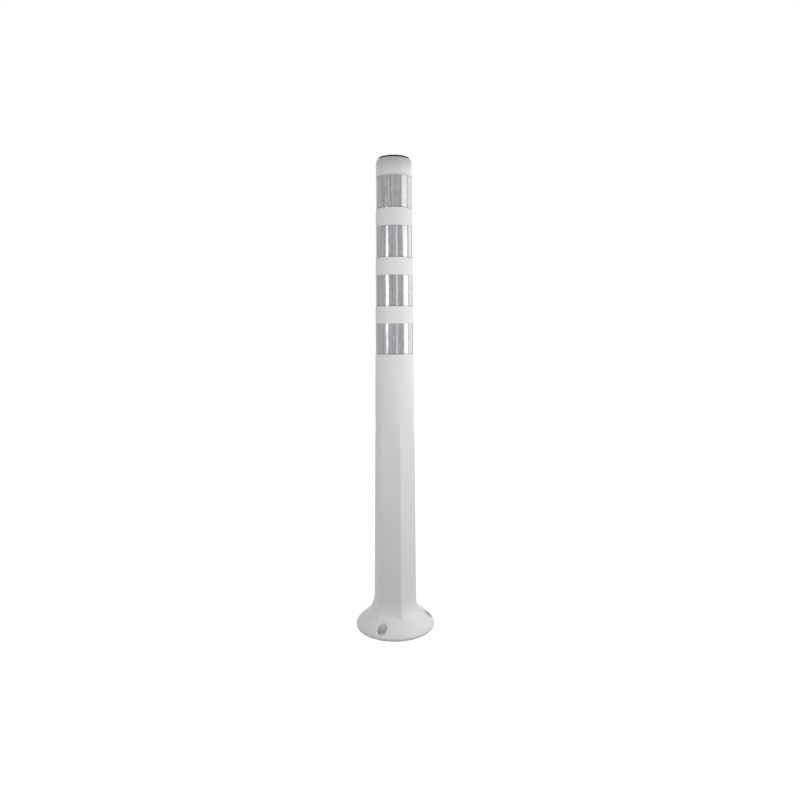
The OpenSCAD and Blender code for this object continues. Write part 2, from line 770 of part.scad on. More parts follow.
module switch_body() {
    flange_z = cover_bottom_z - flange_t;
    color("#252525")
        translate([switch_off, 0, 0])
            difference() {
                union() {
                    translate([0, 0, flange_z]) cylinder(d = flange_d, h = flange_t);
                    translate([0, 0, flange_z]) cylinder(d = barrel_d, h = barrel_top_z - flange_z);
                }
                translate([0, 0, flange_z - eps]) cylinder(r = button_bore_r, h = spring_top_z - flange_z + eps);
            }
}

module power_button() {
    color("firebrick")
        translate([switch_off, 0, button_bottom_z])
            rotate_extrude()
                polygon([[0, 0], [button_d / 2 - button_edge, 0], [button_d / 2, button_edge],
                         [button_d / 2, button_top_z - button_bottom_z], [0, button_top_z - button_bottom_z]]);
}

module button_spring() {
    color("silver")
        translate([switch_off, 0, button_top_z])
            difference() {
                cylinder(r = button_d / 2 - spring_wire, h = spring_top_z - button_top_z);
                translate([0, 0, -eps])
                    cylinder(r = button_d / 2 - 2 * spring_wire, h = spring_top_z - button_top_z + 2 * eps);
            }
}

// A lead straight up from one height to another
module straight_lead(x, y, low, high) {
    translate([x, y, low]) cylinder(r = lead_r, h = high - low, $fn = 24);
}

// A lead bent once: up from its contact, across to [x, y] and up to the board
module bent_lead(start, rise, x, y, top) {
    corners = [[start[0], start[1], start[2] + lead_r], [start[0], start[1], start[2] + rise],
               [x, y, start[2] + rise + 5], [x, y, top - lead_r]];
    for (i = [0 : 2])
        hull() {
            translate(corners[i]) sphere(r = lead_r, $fn = 12);
            translate(corners[i + 1]) sphere(r = lead_r, $fn = 12);
        }
}

module panel_leads() {
    for (side = [-1, 1])
        color(side > 0 ? "crimson" : "black")
            straight_lead(side * lead_pitch / 2, 0, board_top_z, panel_z);
}

module battery_leads() {
    top_tab = battery_top_z + contact_t;
    low_tab = battery_bottom_z;
    tab_x = tab_reach - battery_off - 1.2;
    color("crimson") bent_lead([tab_x, 0, top_tab], 1.5, 4, 1, board_z);
    color("black") bent_lead([tab_x, 1, low_tab], 2, 4, 5.5, board_z);
}

module switch_leads() {
    color("crimson") straight_lead(switch_off + lead_pitch / 2, slot_y, barrel_top_z, board_z);
    color("black") straight_lead(switch_off - lead_pitch / 2, slot_y, barrel_top_z, board_z);
}

foot();
anchor_bushes();
neck_lower();
neck_ring();
neck_upper();
post_tube();
band_1();
band_2();
band_3();
band_4();
lens_collar();
bezel_ring();
bezel_seal();
panel_window();
solar_cells();
solar_panel();
bezel_screws();
reflector_cone();
led_board();
leds();
board_parts();
board_screws();
lamp_chassis();
chassis_seal();
battery();
battery_holder();
battery_contacts();
battery_cover();
cover_gasket();
cover_screws();
switch_body();
power_button();
button_spring();
panel_leads();
battery_leads();
switch_leads();
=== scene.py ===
"""Solar delineator post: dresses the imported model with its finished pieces, materials, lights and camera."""

import math

import bmesh
import bpy
from mathutils import Matrix, Vector


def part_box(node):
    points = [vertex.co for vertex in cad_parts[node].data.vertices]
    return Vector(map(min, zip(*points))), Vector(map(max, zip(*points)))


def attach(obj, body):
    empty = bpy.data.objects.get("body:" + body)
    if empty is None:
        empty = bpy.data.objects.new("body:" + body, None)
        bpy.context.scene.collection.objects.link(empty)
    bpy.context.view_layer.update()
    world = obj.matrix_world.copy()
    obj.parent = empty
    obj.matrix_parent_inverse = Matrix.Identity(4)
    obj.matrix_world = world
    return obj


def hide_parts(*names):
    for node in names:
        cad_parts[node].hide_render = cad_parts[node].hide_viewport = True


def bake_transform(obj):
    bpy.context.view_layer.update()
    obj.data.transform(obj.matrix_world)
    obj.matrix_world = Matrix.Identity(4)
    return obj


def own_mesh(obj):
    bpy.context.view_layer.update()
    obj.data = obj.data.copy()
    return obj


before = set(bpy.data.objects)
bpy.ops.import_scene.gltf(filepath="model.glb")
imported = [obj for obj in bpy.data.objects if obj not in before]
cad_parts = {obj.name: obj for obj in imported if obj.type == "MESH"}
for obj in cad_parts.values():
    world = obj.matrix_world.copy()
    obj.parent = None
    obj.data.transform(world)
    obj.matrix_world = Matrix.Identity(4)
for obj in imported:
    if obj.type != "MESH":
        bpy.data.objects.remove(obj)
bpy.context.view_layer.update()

bl_info = {
    "name": "Solar Delineator Post",
    "version": (1, 0, 0),
    "blender": (4, 5, 0),
    "location": "View3D > Sidebar > Delineator",
    "description": "Builds the finished pieces of a flexible solar delineator post round its CAD frame",
    "category": "Object",
}

MM = 0.001
ROUND_STEPS = 180
SIDES = 6
HALF_SIDE = math.pi / SIDES
FRONT = -math.pi / 2
SAME_POINT = 1e-5
TINY = 1e-6
NECK_STEPS = 26

# Degrees past which an edge is shaded sharp: on most pieces, and on the moulding with its blunt ridges
SHARP_EDGES = 35.0
SOFT_RIDGES = 56.0


# Sizes and colours that a user can change

def length(name, description, default):
    return bpy.props.FloatProperty(
        name=name, description=description, default=default, unit="LENGTH", precision=4
    )


def angle(name, description, default):
    return bpy.props.FloatProperty(
        name=name, description=description, default=math.radians(default), subtype="ANGLE", unit="ROTATION"
    )


def share(name, description, default):
    return bpy.props.FloatProperty(name=name, description=description, default=default, subtype="FACTOR")


def amount(name, description, default):
    return bpy.props.FloatProperty(name=name, description=description, default=default)


def count(name, description, default):
    return bpy.props.IntProperty(name=name, description=description, default=default)


def colour(name, description, default):
    return bpy.props.FloatVectorProperty(
        name=name, description=description, default=default, size=3, min=0, max=1, subtype="COLOR"
    )


def low_of(node):
    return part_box(node)[0].z


def top_of(node):
    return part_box(node)[1].z


class MouldingSizes(bpy.types.PropertyGroup):
    """Sizes of the white moulding: foot, flare and tube"""

    foot_radius: length("Foot radius", "Radius of the round foot", 0.1075)
    rim_height: length("Rim height", "Height of the foot's upright rim", 0.007)
    foot_edge: length("Foot edge", "Chamfer on the foot's lower edge", 0.0015)
    dome_round_width: length("Dome corner width", "Width of the dome's rounded corner", 0.0085)
    dome_round_height: length("Dome corner height", "Height of the dome's rounded corner", 0.015)
    dome_radius: length("Dome radius", "Radius at which the dome runs under the flare", 0.061)
    dome_height: length("Dome height", "Height at which the dome runs under the flare", 0.046)
    flare_top: length("Flare top", "Height at which the flare has become the straight tube", 0.084)
    flare_sweep: length("Flare sweep", "Radius of the concave sweep down onto the dome", 0.080)
    blend_width: length("Crease softness", "Width over which dome and flare run into each other", 0.0022)
    foot_skin: length("Foot skin", "Thickness of the dome over the hollow underside", 0.008)
    core_radius: length("Core radius", "Radius of the open core through the foot", 0.044)
    core_ring: length("Core ring", "Width of the ring round the open core", 0.007)
    floor_rise: length("Floor rise", "Height of the tube's inner floor over the dome", 0.004)
    rib_thickness: length("Rib thickness", "Thickness of each rib under the foot", 0.005)
    rib_count: count("Ribs", "Number of ribs under the foot", 12)
    low_radius: length("Lower radius", "Radius of the lower tube to its ridges", 0.0595)
    ridge_end_radius: length("Ridge end radius", "Radius to the ridges where they start to fade", 0.0548)
    round_radius: length("Round radius", "Radius of the tube where it has become round", 0.0518)
    top_radius: length("Top radius", "Radius of the round tube at its top", 0.0464)
    wall: length("Wall", "Wall thickness of the tube", 0.005)
    tube_top: length("Tube top", "Height of the tube's top face", 1.203)
    facet_full: length("Facets end", "Height up to which the tube is fully six-sided", 0.505)
    facet_top: length("Round from", "Height at which the tube has become round", 0.605)
    facet_bulge: share("Facet bulge", "Bulge of each flat, 0 for a plane and 1 for part of a circle", 0.12)
    facet_turn: angle("Facet turn", "Turn of the flats from the anchor pockets", 8.5)
    neck_lower_top: length("Lower neck top", "Height where the lower neck ends", top_of("neck_lower"))
    neck_upper_bottom: length("Upper neck bottom", "Height where the upper neck starts", low_of("neck_upper"))
    neck_upper_top: length("Upper neck top", "Height where the upper neck ends", top_of("neck_upper"))
    socket_radius: length("Socket radius", "Radius of the lamp's socket", 0.0412)
    socket_bottom: length("Socket bottom", "Height of the socket's lower end", 1.103)
    socket_taper: length("Socket taper", "Height of the taper under the socket", 0.008)


class PocketSizes(bpy.types.PropertyGroup):
    """Sizes of the three anchor pockets"""

    ring_radius: length("Ring radius", "Radius of the circle that the pockets lie on", 0.090)
    radius: length("Pocket radius", "Radius of each pocket", 0.0125)
    floor: length("Pocket floor", "Height of each pocket's floor", 0.012)
    wall: length("Pocket wall", "Wall round each pocket under the dome", 0.006)
    lip: length("Lip radius", "Radius of the rounded lip where a pocket meets the dome", 0.0032)
    bush_radius: length("Bush radius", "Outer radius of the steel bush", 0.010)


class BandSizes(bpy.types.PropertyGroup):
    """Sizes of the four reflective bands"""

    number: count("Bands", "Number of bands", 4)
    height: length("Band height", "Height of each band", 0.080)
    collar: length("Collar height", "Height of the white collar between two bands", 0.044)
    first_top: length("First band top", "Height of the upper edge of the top band", 1.201)
    seat_depth: length("Seat depth", "Depth of each seat at its upper edge", 0.0007)
    glue: length("Glue", "Thickness of the adhesive under the film", 0.00005)
    film: length("Film", "Thickness of the film", 0.0003)
    edge_gap: length("Edge gap", "Gap between the film's edges and its seat", 0.0003)
    seam: length("Seam", "Gap where the film's two ends meet", 0.0012)
    seam_start: angle("Seam start", "Azimuth of the first band's seam", -70)
    seam_step: angle("Seam step", "Turn from each band's seam to the next", 97)


class LampSizes(bpy.types.PropertyGroup):
    """Sizes of the lamp's frosted collar and of the window over its panel"""

    collar_bottom: length("Collar bottom", "Height of the collar's lower edge", low_of("lens_collar"))
    collar_top: length("Collar top", "Height of the collar's upper face", top_of("lens_collar"))
    collar_wall: length("Collar wall", "Wall of the frosted collar", 0.003)
    shoulder_width: length("Shoulder width", "Width of the collar's rounded shoulder", 0.0039)
    shoulder_height: length("Shoulder height", "Height of the collar's rounded shoulder", 0.012)
    hole_radius: length("Hole radius", "Radius of the hole in the collar's top", 0.034)
    deck_top: length("Deck top", "Height of the chassis's deck", 1.2063)
    rib: length("Rib", "Size of the rib that rests on the chassis", 0.002)
    window_bottom: length("Window bottom", "Height of the window's underside", low_of("panel_window"))
    window_top: length("Window top", "Height of the window's face", top_of("panel_window"))
    window_radius: length("Window radius", "Radius of the window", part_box("panel_window")[1].x)


class FinishColours(bpy.types.PropertyGroup):
    """Colours of the finishes"""

    white: colour("White moulding", "Polyurethane of the foot and tube", (0.80, 0.80, 0.795))
    film: colour("Reflective film", "Silver-grey film", (0.345, 0.345, 0.353))
    frosted: colour("Frosted collar", "Frosted polycarbonate", (0.76, 0.765, 0.77))
    black: colour("Black plastic", "Rim and battery parts", (0.018, 0.018, 0.019))
    grey: colour("Grey plastic", "Lamp chassis", (0.50, 0.51, 0.52))
    cells: colour("Cells", "Silicon cells", (0.010, 0.030, 0.140))


class StageSettings(bpy.types.PropertyGroup):
    """Camera, lights and floor"""

    camera_turn: angle("Camera azimuth", "Direction of the camera round the post", 23)
    camera_distance: length("Camera distance", "Level distance from the post's axis", 1.6633)
    camera_height: length("Camera height", "Height of the camera over the ground", 0.807)
    camera_pitch: angle("Camera pitch", "How far the camera looks down", 6.215)
    camera_yaw: angle("Camera yaw", "How far the camera looks to the right of the axis", 0.515)
    camera_roll: angle("Camera roll", "Lean of the camera", 0.15)
    focal_share: amount("Focal length share", "Focal length as a share of the sensor's width", 0.780)
    world_level: amount("World level", "Brightness of the plain surrounding light", 0.44)
    floor_shade: amount("Floor shade", "Share of the light that the floor throws back", 0.36)
    floor_glow: amount("Floor glow", "Brightness that lifts the floor to the white background", 0.86)


# Outline of the moulding

PAST_DOME = 1.2
CLEAR_OF_DOME = 1.15


def ramp(t):
    """Smooth step from 0 to 1"""
    t = min(max(t, 0.0), 1.0)
    return t * t * (3 - 2 * t)


def sweep_in(s, z):
    """How far the flare stands out from the straight tube at a height"""
    if z >= s.flare_top:
        return 0.0
    return s.flare_sweep - math.sqrt(max(s.flare_sweep ** 2 - (s.flare_top - z) ** 2, 0.0))


def roundness(s, z):
    """0 where the tube is six-sided and 1 where it is round"""
    return ramp((z - s.facet_full) / (s.facet_top - s.facet_full))


def line(z, low, high, low_radius, high_radius):
    return low_radius + (high_radius - low_radius) * (z - low) / (high - low)


def ridge_radius(s, z):
    sided = line(z, s.flare_top, s.facet_full, s.low_radius, s.ridge_end_radius)
    turned = line(z, s.facet_top, s.tube_top, s.round_radius, s.top_radius)
    return sided * (1 - roundness(s, z)) + turned * roundness(s, z) + sweep_in(s, z)


def bulge(s, z):
    return s.facet_bulge + (1 - s.facet_bulge) * roundness(s, z)


def side_radius(r, b, turn):
    """Radius of the six-sided outline at a turn from a flat's middle: an arc through both ridges"""
    a = (turn + HALF_SIDE) % (2 * HALF_SIDE) - HALF_SIDE
    chord = r * math.cos(HALF_SIDE)
    middle = chord + (r - chord) * max(b, TINY)
    back = (r * r - middle * middle) / (2 * middle - 2 * chord)
    return math.sqrt((middle + back) ** 2 - (back * math.sin(a)) ** 2) - back * math.cos(a)


def outer_radius_at(s, z, turn):
    return side_radius(ridge_radius(s, z), bulge(s, z), turn)


def inner_radius_at(s, z, turn):
    """Radius inside the wall, whose thickness is measured square to the flats"""
    along_ridge = s.wall * (1 + (1 / math.cos(HALF_SIDE) - 1) * (1 - bulge(s, z)))
    return side_radius(ridge_radius(s, z) - along_ridge, bulge(s, z), turn)


def dome_radius_at(s, z):
    """Radius of the foot's dome at a height, from its curve carried on past both ends"""
    ends = (s.rim_height, s.rim_height + s.dome_round_height, s.dome_height)
    radii = (s.foot_radius, s.foot_radius - s.dome_round_width, s.dome_radius)
    a = ends[0] - 2 * ends[1] + ends[2]
    b = 2 * (ends[1] - ends[0])
    c = ends[0] - z
    t = (-b + math.sqrt(max(b * b - 4 * a * c, 0.0))) / (2 * a) if abs(a) > TINY else -c / b
    return radii[0] * (1 - t) ** 2 + radii[1] * 2 * t * (1 - t) + radii[2] * t * t


def dome_height_at(s, radius):
    """Height of the dome at a radius, found by halving"""
    low, high = s.rim_height, s.dome_height * PAST_DOME
    for _ in range(40):
        middle = (low + high) / 2
        if dome_radius_at(s, middle) > radius:
            low = middle
        else:
            high = middle
    return (low + high) / 2


def soft_max(a, b, width):
    """The larger of two numbers, blended where they lie within a width of each other"""
    gap = abs(a - b)
    return max(a, b) + (max(width - gap, 0.0) ** 2) / (4 * width)


def foot_radius_at(s, z, turn):
    flare = outer_radius_at(s, z, turn)
    if z >= s.dome_height * CLEAR_OF_DOME:
        return flare
    if z <= s.dome_height / 2:
        return dome_radius_at(s, z)
    return soft_max(flare, dome_radius_at(s, z), s.blend_width)


# Mesh tools

def steps(a, b, parts):
    """The ends of a stretch and the points that cut it into equal parts"""
    return [a + (b - a) * i / parts for i in range(parts + 1)]


def coil_rise(t):
    """Rise of a coil along its length, nearly flat over the closed turn at each end"""
    end, flat = 0.16, 0.25
    if t < end:
        return t * flat
    if t > 1 - end:
        return 1 - (1 - t) * flat
    return end * flat + (t - end) * (1 - 2 * end * flat) / (1 - 2 * end)


def lathe(profile, parts=ROUND_STEPS, closed=True, start=FRONT):
    """Turns a list of (radius, height) points once round the post's axis"""
    bm = bmesh.new()
    turn = Matrix.Rotation(start, 3, "Z")
    verts = [bm.verts.new(turn @ Vector((max(r, 0.0), 0, z))) for r, z in profile]
    edges = [bm.edges.new(pair) for pair in zip(verts, verts[1:])]
    if closed:
        edges.append(bm.edges.new((verts[-1], verts[0])))
    bmesh.ops.spin(
        bm, geom=verts + edges, cent=(0, 0, 0), axis=(0, 0, 1), dvec=(0, 0, 0),
        angle=2 * math.pi, steps=parts, use_merge=True, use_duplicate=False,
    )
    bmesh.ops.remove_doubles(bm, verts=bm.verts, dist=TINY)
    bmesh.ops.recalc_face_normals(bm, faces=bm.faces)
    return bm


def rounded(corners, parts=4):
    """Rounds a profile of (radius, height, rounding) corners, each over less than half of its sides"""
    most = 0.49
    places = [Vector(corner[:2]) for corner in corners]
    made = []
    for i, here in enumerate(places):
        rounding = corners[i][2]
        if rounding <= 0:
            made.append(tuple(here))
            continue
        before, after = places[i - 1] - here, places[(i + 1) % len(places)] - here
        half = before.angle(after) / 2
        reach = min(rounding / math.tan(half), before.length * most, after.length * most)
        a, b = here + before.normalized() * reach, here + after.normalized() * reach
        made += [tuple(a * (1 - t) ** 2 + here * 2 * t * (1 - t) + b * t * t) for t in steps(0, 1, parts)]
    return made


def supported(profile, closed=True):
    """Adds a point near both ends of every long straight run, so that rounded edges don't tint the flats"""
    reach = 0.6 * MM
    made = []
    ends = zip(profile, profile[1:] + profile[:1]) if closed else zip(profile, profile[1:])
    for one, two in ends:
        made.append(one)
        a, b = Vector(one), Vector(two)
        run = (b - a).length
        if run > 6 * reach:
            made += [tuple(a.lerp(b, reach / run)), tuple(a.lerp(b, 1 - reach / run))]
    return made if closed else made + [profile[-1]]


def to_object(bm, name, sharp_angle=SHARP_EDGES):
    """Makes a smooth-shaded object with its sharp edges marked, and frees the bmesh"""
    limit = math.radians(sharp_angle)
    bm.normal_update()
    for face in bm.faces:
        face.smooth = True
    for edge in bm.edges:
        edge.smooth = len(edge.link_faces) == 2 and edge.calc_face_angle(0.0) < limit
    mesh = bpy.data.meshes.new(name)
    bm.to_mesh(mesh)
    bm.free()
    obj = bpy.data.objects.new(name, mesh)
    bpy.context.scene.collection.objects.link(obj)
    return obj


def carve(bm, name, adds, cuts, sharp_angle):
    """Adds and cuts closed bmeshes with exact booleans, and returns the finished object"""
    base = to_object(bm, name, sharp_angle)
    helpers = []
    for group, operation in ((adds, "UNION"), (cuts, "DIFFERENCE")):
        for tool in group:
            helper = to_object(tool, name + "_tool")
            helpers.append(helper)
            modifier = base.modifiers.new("cut", "BOOLEAN")
            modifier.operation = operation
            modifier.solver = "EXACT"
            modifier.object = helper
    bpy.context.view_layer.update()
    made = bpy.data.meshes.new_from_object(base.evaluated_get(bpy.context.evaluated_depsgraph_get()))
    for helper in helpers:
        bpy.data.objects.remove(helper)
    bpy.data.objects.remove(base)
    result = bmesh.new()
    result.from_mesh(made)
    bpy.data.meshes.remove(made)
    bmesh.ops.remove_doubles(result, verts=result.verts, dist=SAME_POINT)
    return to_object(result, name, sharp_angle)


def box(low, high):
    bm = bmesh.new()
    bmesh.ops.create_cube(bm, size=1)
    low, high = Vector(low), Vector(high)
    bmesh.ops.scale(bm, vec=high - low, verts=bm.verts)
    bmesh.ops.translate(bm, vec=(low + high) / 2, verts=bm.verts)
    return bm


def dress(obj, finish, replaces, body=None):
    """Gives a finished piece its material, hides the nodes that it replaces, and gives it its body where it
    doesn't bend
    """
    obj.data.materials.clear()
    obj.data.materials.append(bpy.data.materials[finish])
    if body:
        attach(obj, body)
    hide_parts(*replaces)


def softened(node, offset):
    """Copy of a CAD node's solid with its sharp edges rounded"""
    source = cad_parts[node]
    bm = bmesh.new()
    bm.from_mesh(source.data)
    bm.transform(source.matrix_world)
    bmesh.ops.remove_doubles(bm, verts=bm.verts, dist=SAME_POINT)
    bmesh.ops.dissolve_limit(bm, angle_limit=math.radians(1.0), verts=bm.verts, edges=bm.edges)
    limit = math.radians(SHARP_EDGES)
    sharp = [edge for edge in bm.edges if len(edge.link_faces) == 2 and edge.calc_face_angle(0.0) > limit]
    bmesh.ops.bevel(
        bm, geom=sharp, offset=offset, segments=2, profile=0.5, affect="EDGES", clamp_overlap=True,
        material=-1,
    )
    bmesh.ops.recalc_face_normals(bm, faces=bm.faces)
    return to_object(bm, node + "_finished")


def paint(node, material):
    """Gives a CAD node its material"""
    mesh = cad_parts[node].data
    mesh.materials.clear()
    mesh.materials.append(material)


# Materials

NOISE_RANGE = (0.3, 0.7)


class Finish:
    """A node material with a Principled shader and a few ready-made patterns on Object coordinates"""

    def __init__(self, name):
        self.material = bpy.data.materials.get(name) or bpy.data.materials.new(name)
        self.tree = fresh_tree(self.material)
        self.shader = self.add("ShaderNodeBsdfPrincipled")
        self.link(self.shader.outputs["BSDF"], self.add("ShaderNodeOutputMaterial").inputs["Surface"])
        self.place = self.add("ShaderNodeTexCoord").outputs["Object"]

    def add(self, kind, **values):
        node = self.tree.nodes.new(kind)
        for key, value in values.items():
            setattr(node, key, value)
        return node

    def link(self, a, b):
        self.tree.links.new(a, b)

    def set(self, **values):
        for key, value in values.items():
            self.shader.inputs[key.replace("_", " ").title().replace("Ior", "IOR")].default_value = value

    def stretched(self, scale):
        mapping = self.add("ShaderNodeMapping")
        mapping.inputs["Scale"].default_value = scale
        self.link(self.place, mapping.inputs["Vector"])
        return mapping.outputs["Vector"]

    def noise(self, scale, detail=3.0, rough=0.5, stretch=(1, 1, 1)):
        node = self.add("ShaderNodeTexNoise")
        node.inputs["Scale"].default_value = scale
        node.inputs["Detail"].default_value = detail
        node.inputs["Roughness"].default_value = rough
        self.link(self.stretched(stretch), node.inputs["Vector"])
        return node.outputs["Fac"]

    def crystals(self, scale):
        node = self.add("ShaderNodeTexVoronoi")
        node.inputs["Scale"].default_value = scale
        self.link(self.place, node.inputs["Vector"])
        return node

    def remap(self, value, low, high, to_low, to_high):
        node = self.add("ShaderNodeMapRange")
        for key, number in zip(("From Min", "From Max", "To Min", "To Max"), (low, high, to_low, to_high)):
            node.inputs[key].default_value = number
        self.link(value, node.inputs["Value"])
        return node.outputs["Result"]

    def spread(self, noise, low, high):
        """Carries a noise's usual range over to low and high"""
        return self.remap(noise, *NOISE_RANGE, low, high)

    def math(self, operation, a, b=None):
        node = self.add("ShaderNodeMath", operation=operation)
        for socket, value in zip(node.inputs, (a, b)):
            if value is None:
                continue
            if isinstance(value, (int, float)):
                socket.default_value = value
            else:
                self.link(value, socket)
        return node.outputs["Value"]

    def times(self, a, b):
        return self.math("MULTIPLY", a, b)

    def plus(self, a, b):
        return self.math("ADD", a, b)

    def mix(self, share_of_b, a, b):
        node = self.add("ShaderNodeMix", data_type="RGBA")
        self.link(share_of_b, node.inputs["Factor"])
        for socket, value in ((node.inputs[6], a), (node.inputs[7], b)):
            if isinstance(value, bpy.types.NodeSocket):
                self.link(value, socket)
            else:
                socket.default_value = (*value, 1)
        return node.outputs[2]

    def patches(self, noise, a, b):
        """Two colours in soft patches"""
        return self.mix(self.spread(noise, 0, 1), a, b)

    def axis(self, name):
        node = self.add("ShaderNodeSeparateXYZ")
        self.link(self.place, node.inputs["Vector"])
        return node.outputs[name]

    def bump(self, height, depth, strength):
        """Adds a bump, over any that the shader has already"""
        node = self.add("ShaderNodeBump")
        node.inputs["Strength"].default_value = strength
        node.inputs["Distance"].default_value = depth
        self.link(height, node.inputs["Height"])
        if self.shader.inputs["Normal"].is_linked:
            self.link(self.shader.inputs["Normal"].links[0].from_socket, node.inputs["Normal"])
        self.link(node.outputs["Normal"], self.shader.inputs["Normal"])

    def to_colour(self, socket):
        self.link(socket, self.shader.inputs["Base Color"])

    def to_metal(self, socket):
        self.link(socket, self.shader.inputs["Metallic"])

    def to_roughness(self, noise, low, high):
        self.link(self.spread(noise, low, high), self.shader.inputs["Roughness"])


def fresh_tree(owner):
    """Empties the node tree of a material or of the world"""
    owner.use_nodes = True
    owner.node_tree.nodes.clear()
    return owner.node_tree


def shade(colour_value, factor):
    return tuple(min(channel * factor, 1.0) for channel in colour_value)


def white_moulding(colours, pockets):
    """Satin white polyurethane: faint clouds, fine moulded grain, dust specks near the ground, painted shade
    along the foot's bottom rim, and painted shade with a brownish dirt tint in the anchor pockets
    """
    # Tones in turn: dust specks near the ground, painted shade for the foot's bottom rim, and painted shade
    # with a brownish dirt tint for the pockets
    dust, scuff, grime_and_shade = (0.55, 0.54, 0.52), (0.42, 0.415, 0.40), (0.30, 0.29, 0.275)
    dust_top, rim_shade_top, pocket_shade_rise, over_pockets = 50 * MM, 8 * MM, 22 * MM, 70 * MM
    f = Finish("white_moulding")
    z = f.axis("Z")
    cloud = f.noise(9.0, 4.0, 0.55)
    streak = f.noise(30.0, 3.0, 0.5, (1, 1, 0.12))
    tone = f.plus(f.times(cloud, 0.6), f.times(streak, 0.4))
    clean = f.patches(tone, shade(colours.white, 0.965), shade(colours.white, 1.02))
    speck = f.remap(f.noise(140.0, 5.0, 0.65), 0.56, 0.72, 0, 1)
    dusty = f.mix(f.times(f.times(f.remap(z, 0, dust_top, 1, 0), speck), 0.35), clean, dust)
    # Painted shade along the foot's bottom rim: the lowest few millimetres darken in patches
    rim = f.times(f.remap(z, 0, rim_shade_top, 1, 0), f.spread(cloud, 0.35, 0.75))
    rim_shaded = f.mix(rim, dusty, scuff)
    nearest = None
    for x, y in at_pockets(pockets):
        away = f.add("ShaderNodeVectorMath", operation="DISTANCE")
        f.link(f.stretched((1, 1, 0)), away.inputs[0])
        away.inputs[1].default_value = (x, y, 0)
        nearest = f.math("MINIMUM", nearest, away.outputs["Value"]) if nearest else away.outputs["Value"]
    # Painted shade inside the anchor pockets, with a brownish dirt tint: darkest at each pocket's floor and
    # fading upwards
    inside = f.remap(nearest, pockets.radius + 0.7 * MM, pockets.radius + 0.2 * MM, 0, 1)
    depth = f.remap(z, pockets.floor, pockets.floor + pocket_shade_rise, 0.55, 0.12)
    depth = f.times(depth, f.remap(z, over_pockets, over_pockets + 5 * MM, 1, 0))
    f.to_colour(f.mix(f.times(inside, depth), rim_shaded, grime_and_shade))
    f.to_roughness(cloud, 0.40, 0.52)
    f.bump(f.noise(650.0, 2.0), 0.12 * MM, 0.35)
    f.bump(f.noise(35.0, 2.0), 0.6 * MM, 0.25)
    return f.material


def reflective_film(colours, bands):
    """Silver film: bead grain, upright streaks, a faint violet cast, each band darker along its upper edge,
    and painted groove shade with a brownish dirt tint along its lower edge
    """
    violet, grime_and_shade_colour = (0.94, 0.88, 1.04), (0.15, 0.135, 0.085)
    f = Finish("reflective_film")
    grain = f.noise(1400.0, 2.0, 0.6)
    streak = f.noise(170.0, 3.0, 0.6, (1, 1, 0.02))
    blotch = f.noise(28.0, 3.0, 0.5)
    mottle = f.noise(210.0, 4.0, 0.65, (1, 1, 0.25))
    tone = f.plus(f.plus(f.times(streak, 0.45), f.times(grain, 0.25)), f.times(mottle, 0.3))
    silver = f.mix(f.remap(tone, 0.38, 0.62, 0, 1), shade(colours.film, 0.72), shade(colours.film, 1.26))
    cast = f.mix(f.remap(blotch, 0.5, 0.75, 0, 0.4), silver, shade(violet, colours.film[0]))
    pitch = bands.height + bands.collar
    lowest = bands.first_top - bands.height - (bands.number - 1) * pitch
    rise = f.math("MODULO", f.math("SUBTRACT", f.axis("Z"), lowest), pitch)
    # Painted shade in the groove along each band's lower edge, with a brownish dirt tint and a ragged upper
    # limit
    ragged = f.plus(rise, f.times(f.noise(420.0, 3.0, 0.6, (1, 1, 0.1)), -4.6 * MM))
    grime_and_shade = f.remap(ragged, 1.2 * MM, -0.8 * MM, 0, 0.62)
    # Each band's colour darkens along its upper edge; its gloss stays as it is
    darker_top_edge = f.remap(rise, bands.height - 2.4 * MM, bands.height - 0.8 * MM, 0, 0.4)
    f.to_colour(f.mix(grime_and_shade, f.mix(darker_top_edge, cast, shade(colours.film, 0.5)), grime_and_shade_colour))
    f.set(metallic=1.0)
    f.to_roughness(mottle, 0.10, 0.20)
    f.bump(grain, 0.05 * MM, 0.3)
    f.bump(streak, 0.2 * MM, 0.12)
    return f.material


def frosted_collar(colours):
    """Frosted polycarbonate: milky, with painted shade darkening it towards its top, a soft sheen and fine
    etched grain
    """
    painted_shade_from, painted_shade_to = 1.210, 1.238
    f = Finish("frosted_collar")
    milk = f.patches(f.noise(40.0), shade(colours.frosted, 0.95), shade(colours.frosted, 1.05))
    # Painted shade: the colour darkens towards the collar's top
    f.to_colour(f.mix(f.remap(f.axis("Z"), painted_shade_from, painted_shade_to, 0, 1), milk, shade(colours.frosted, 0.70)))
    f.to_roughness(f.noise(300.0), 0.26, 0.40)
    f.set(subsurface_weight=0.35, subsurface_radius=(1, 1, 1), subsurface_scale=4 * MM)
    f.set(coat_weight=0.25, coat_roughness=0.18)
    f.bump(f.noise(1800.0, 2.0), 0.04 * MM, 0.4)
    return f.material


def plain_finish(name, tones, patch_sizes, rough, grain, **looks):
    """Two close tones in patches, an uneven sheen and a fine grain"""
    f = Finish(name)
    f.to_colour(f.patches(f.noise(patch_sizes[0]), *tones))
    f.to_roughness(f.noise(patch_sizes[1]), *rough)
    scale, detail, depth, strength = grain
    f.bump(f.noise(scale, detail), depth, strength)
    f.set(**looks)
    return f.material


def moulded_plastic(name, base, rough, shine=0.5):
    tones = (shade(base, 0.94), shade(base, 1.06))
    sheen = (rough - 0.06, rough + 0.08)
    grain = (1100.0, 2.0, 0.05 * MM, 0.5)
    return plain_finish(name, tones, (60.0, 220.0), sheen, grain, specular_ior_level=shine)


def soft_rubber():
    tones = ((0.012, 0.012, 0.012), (0.03, 0.03, 0.03))
    return plain_finish("black_rubber", tones, (120.0, 400.0), (0.6, 0.8), (1500.0, 2.0, 0.05 * MM, 0.5))


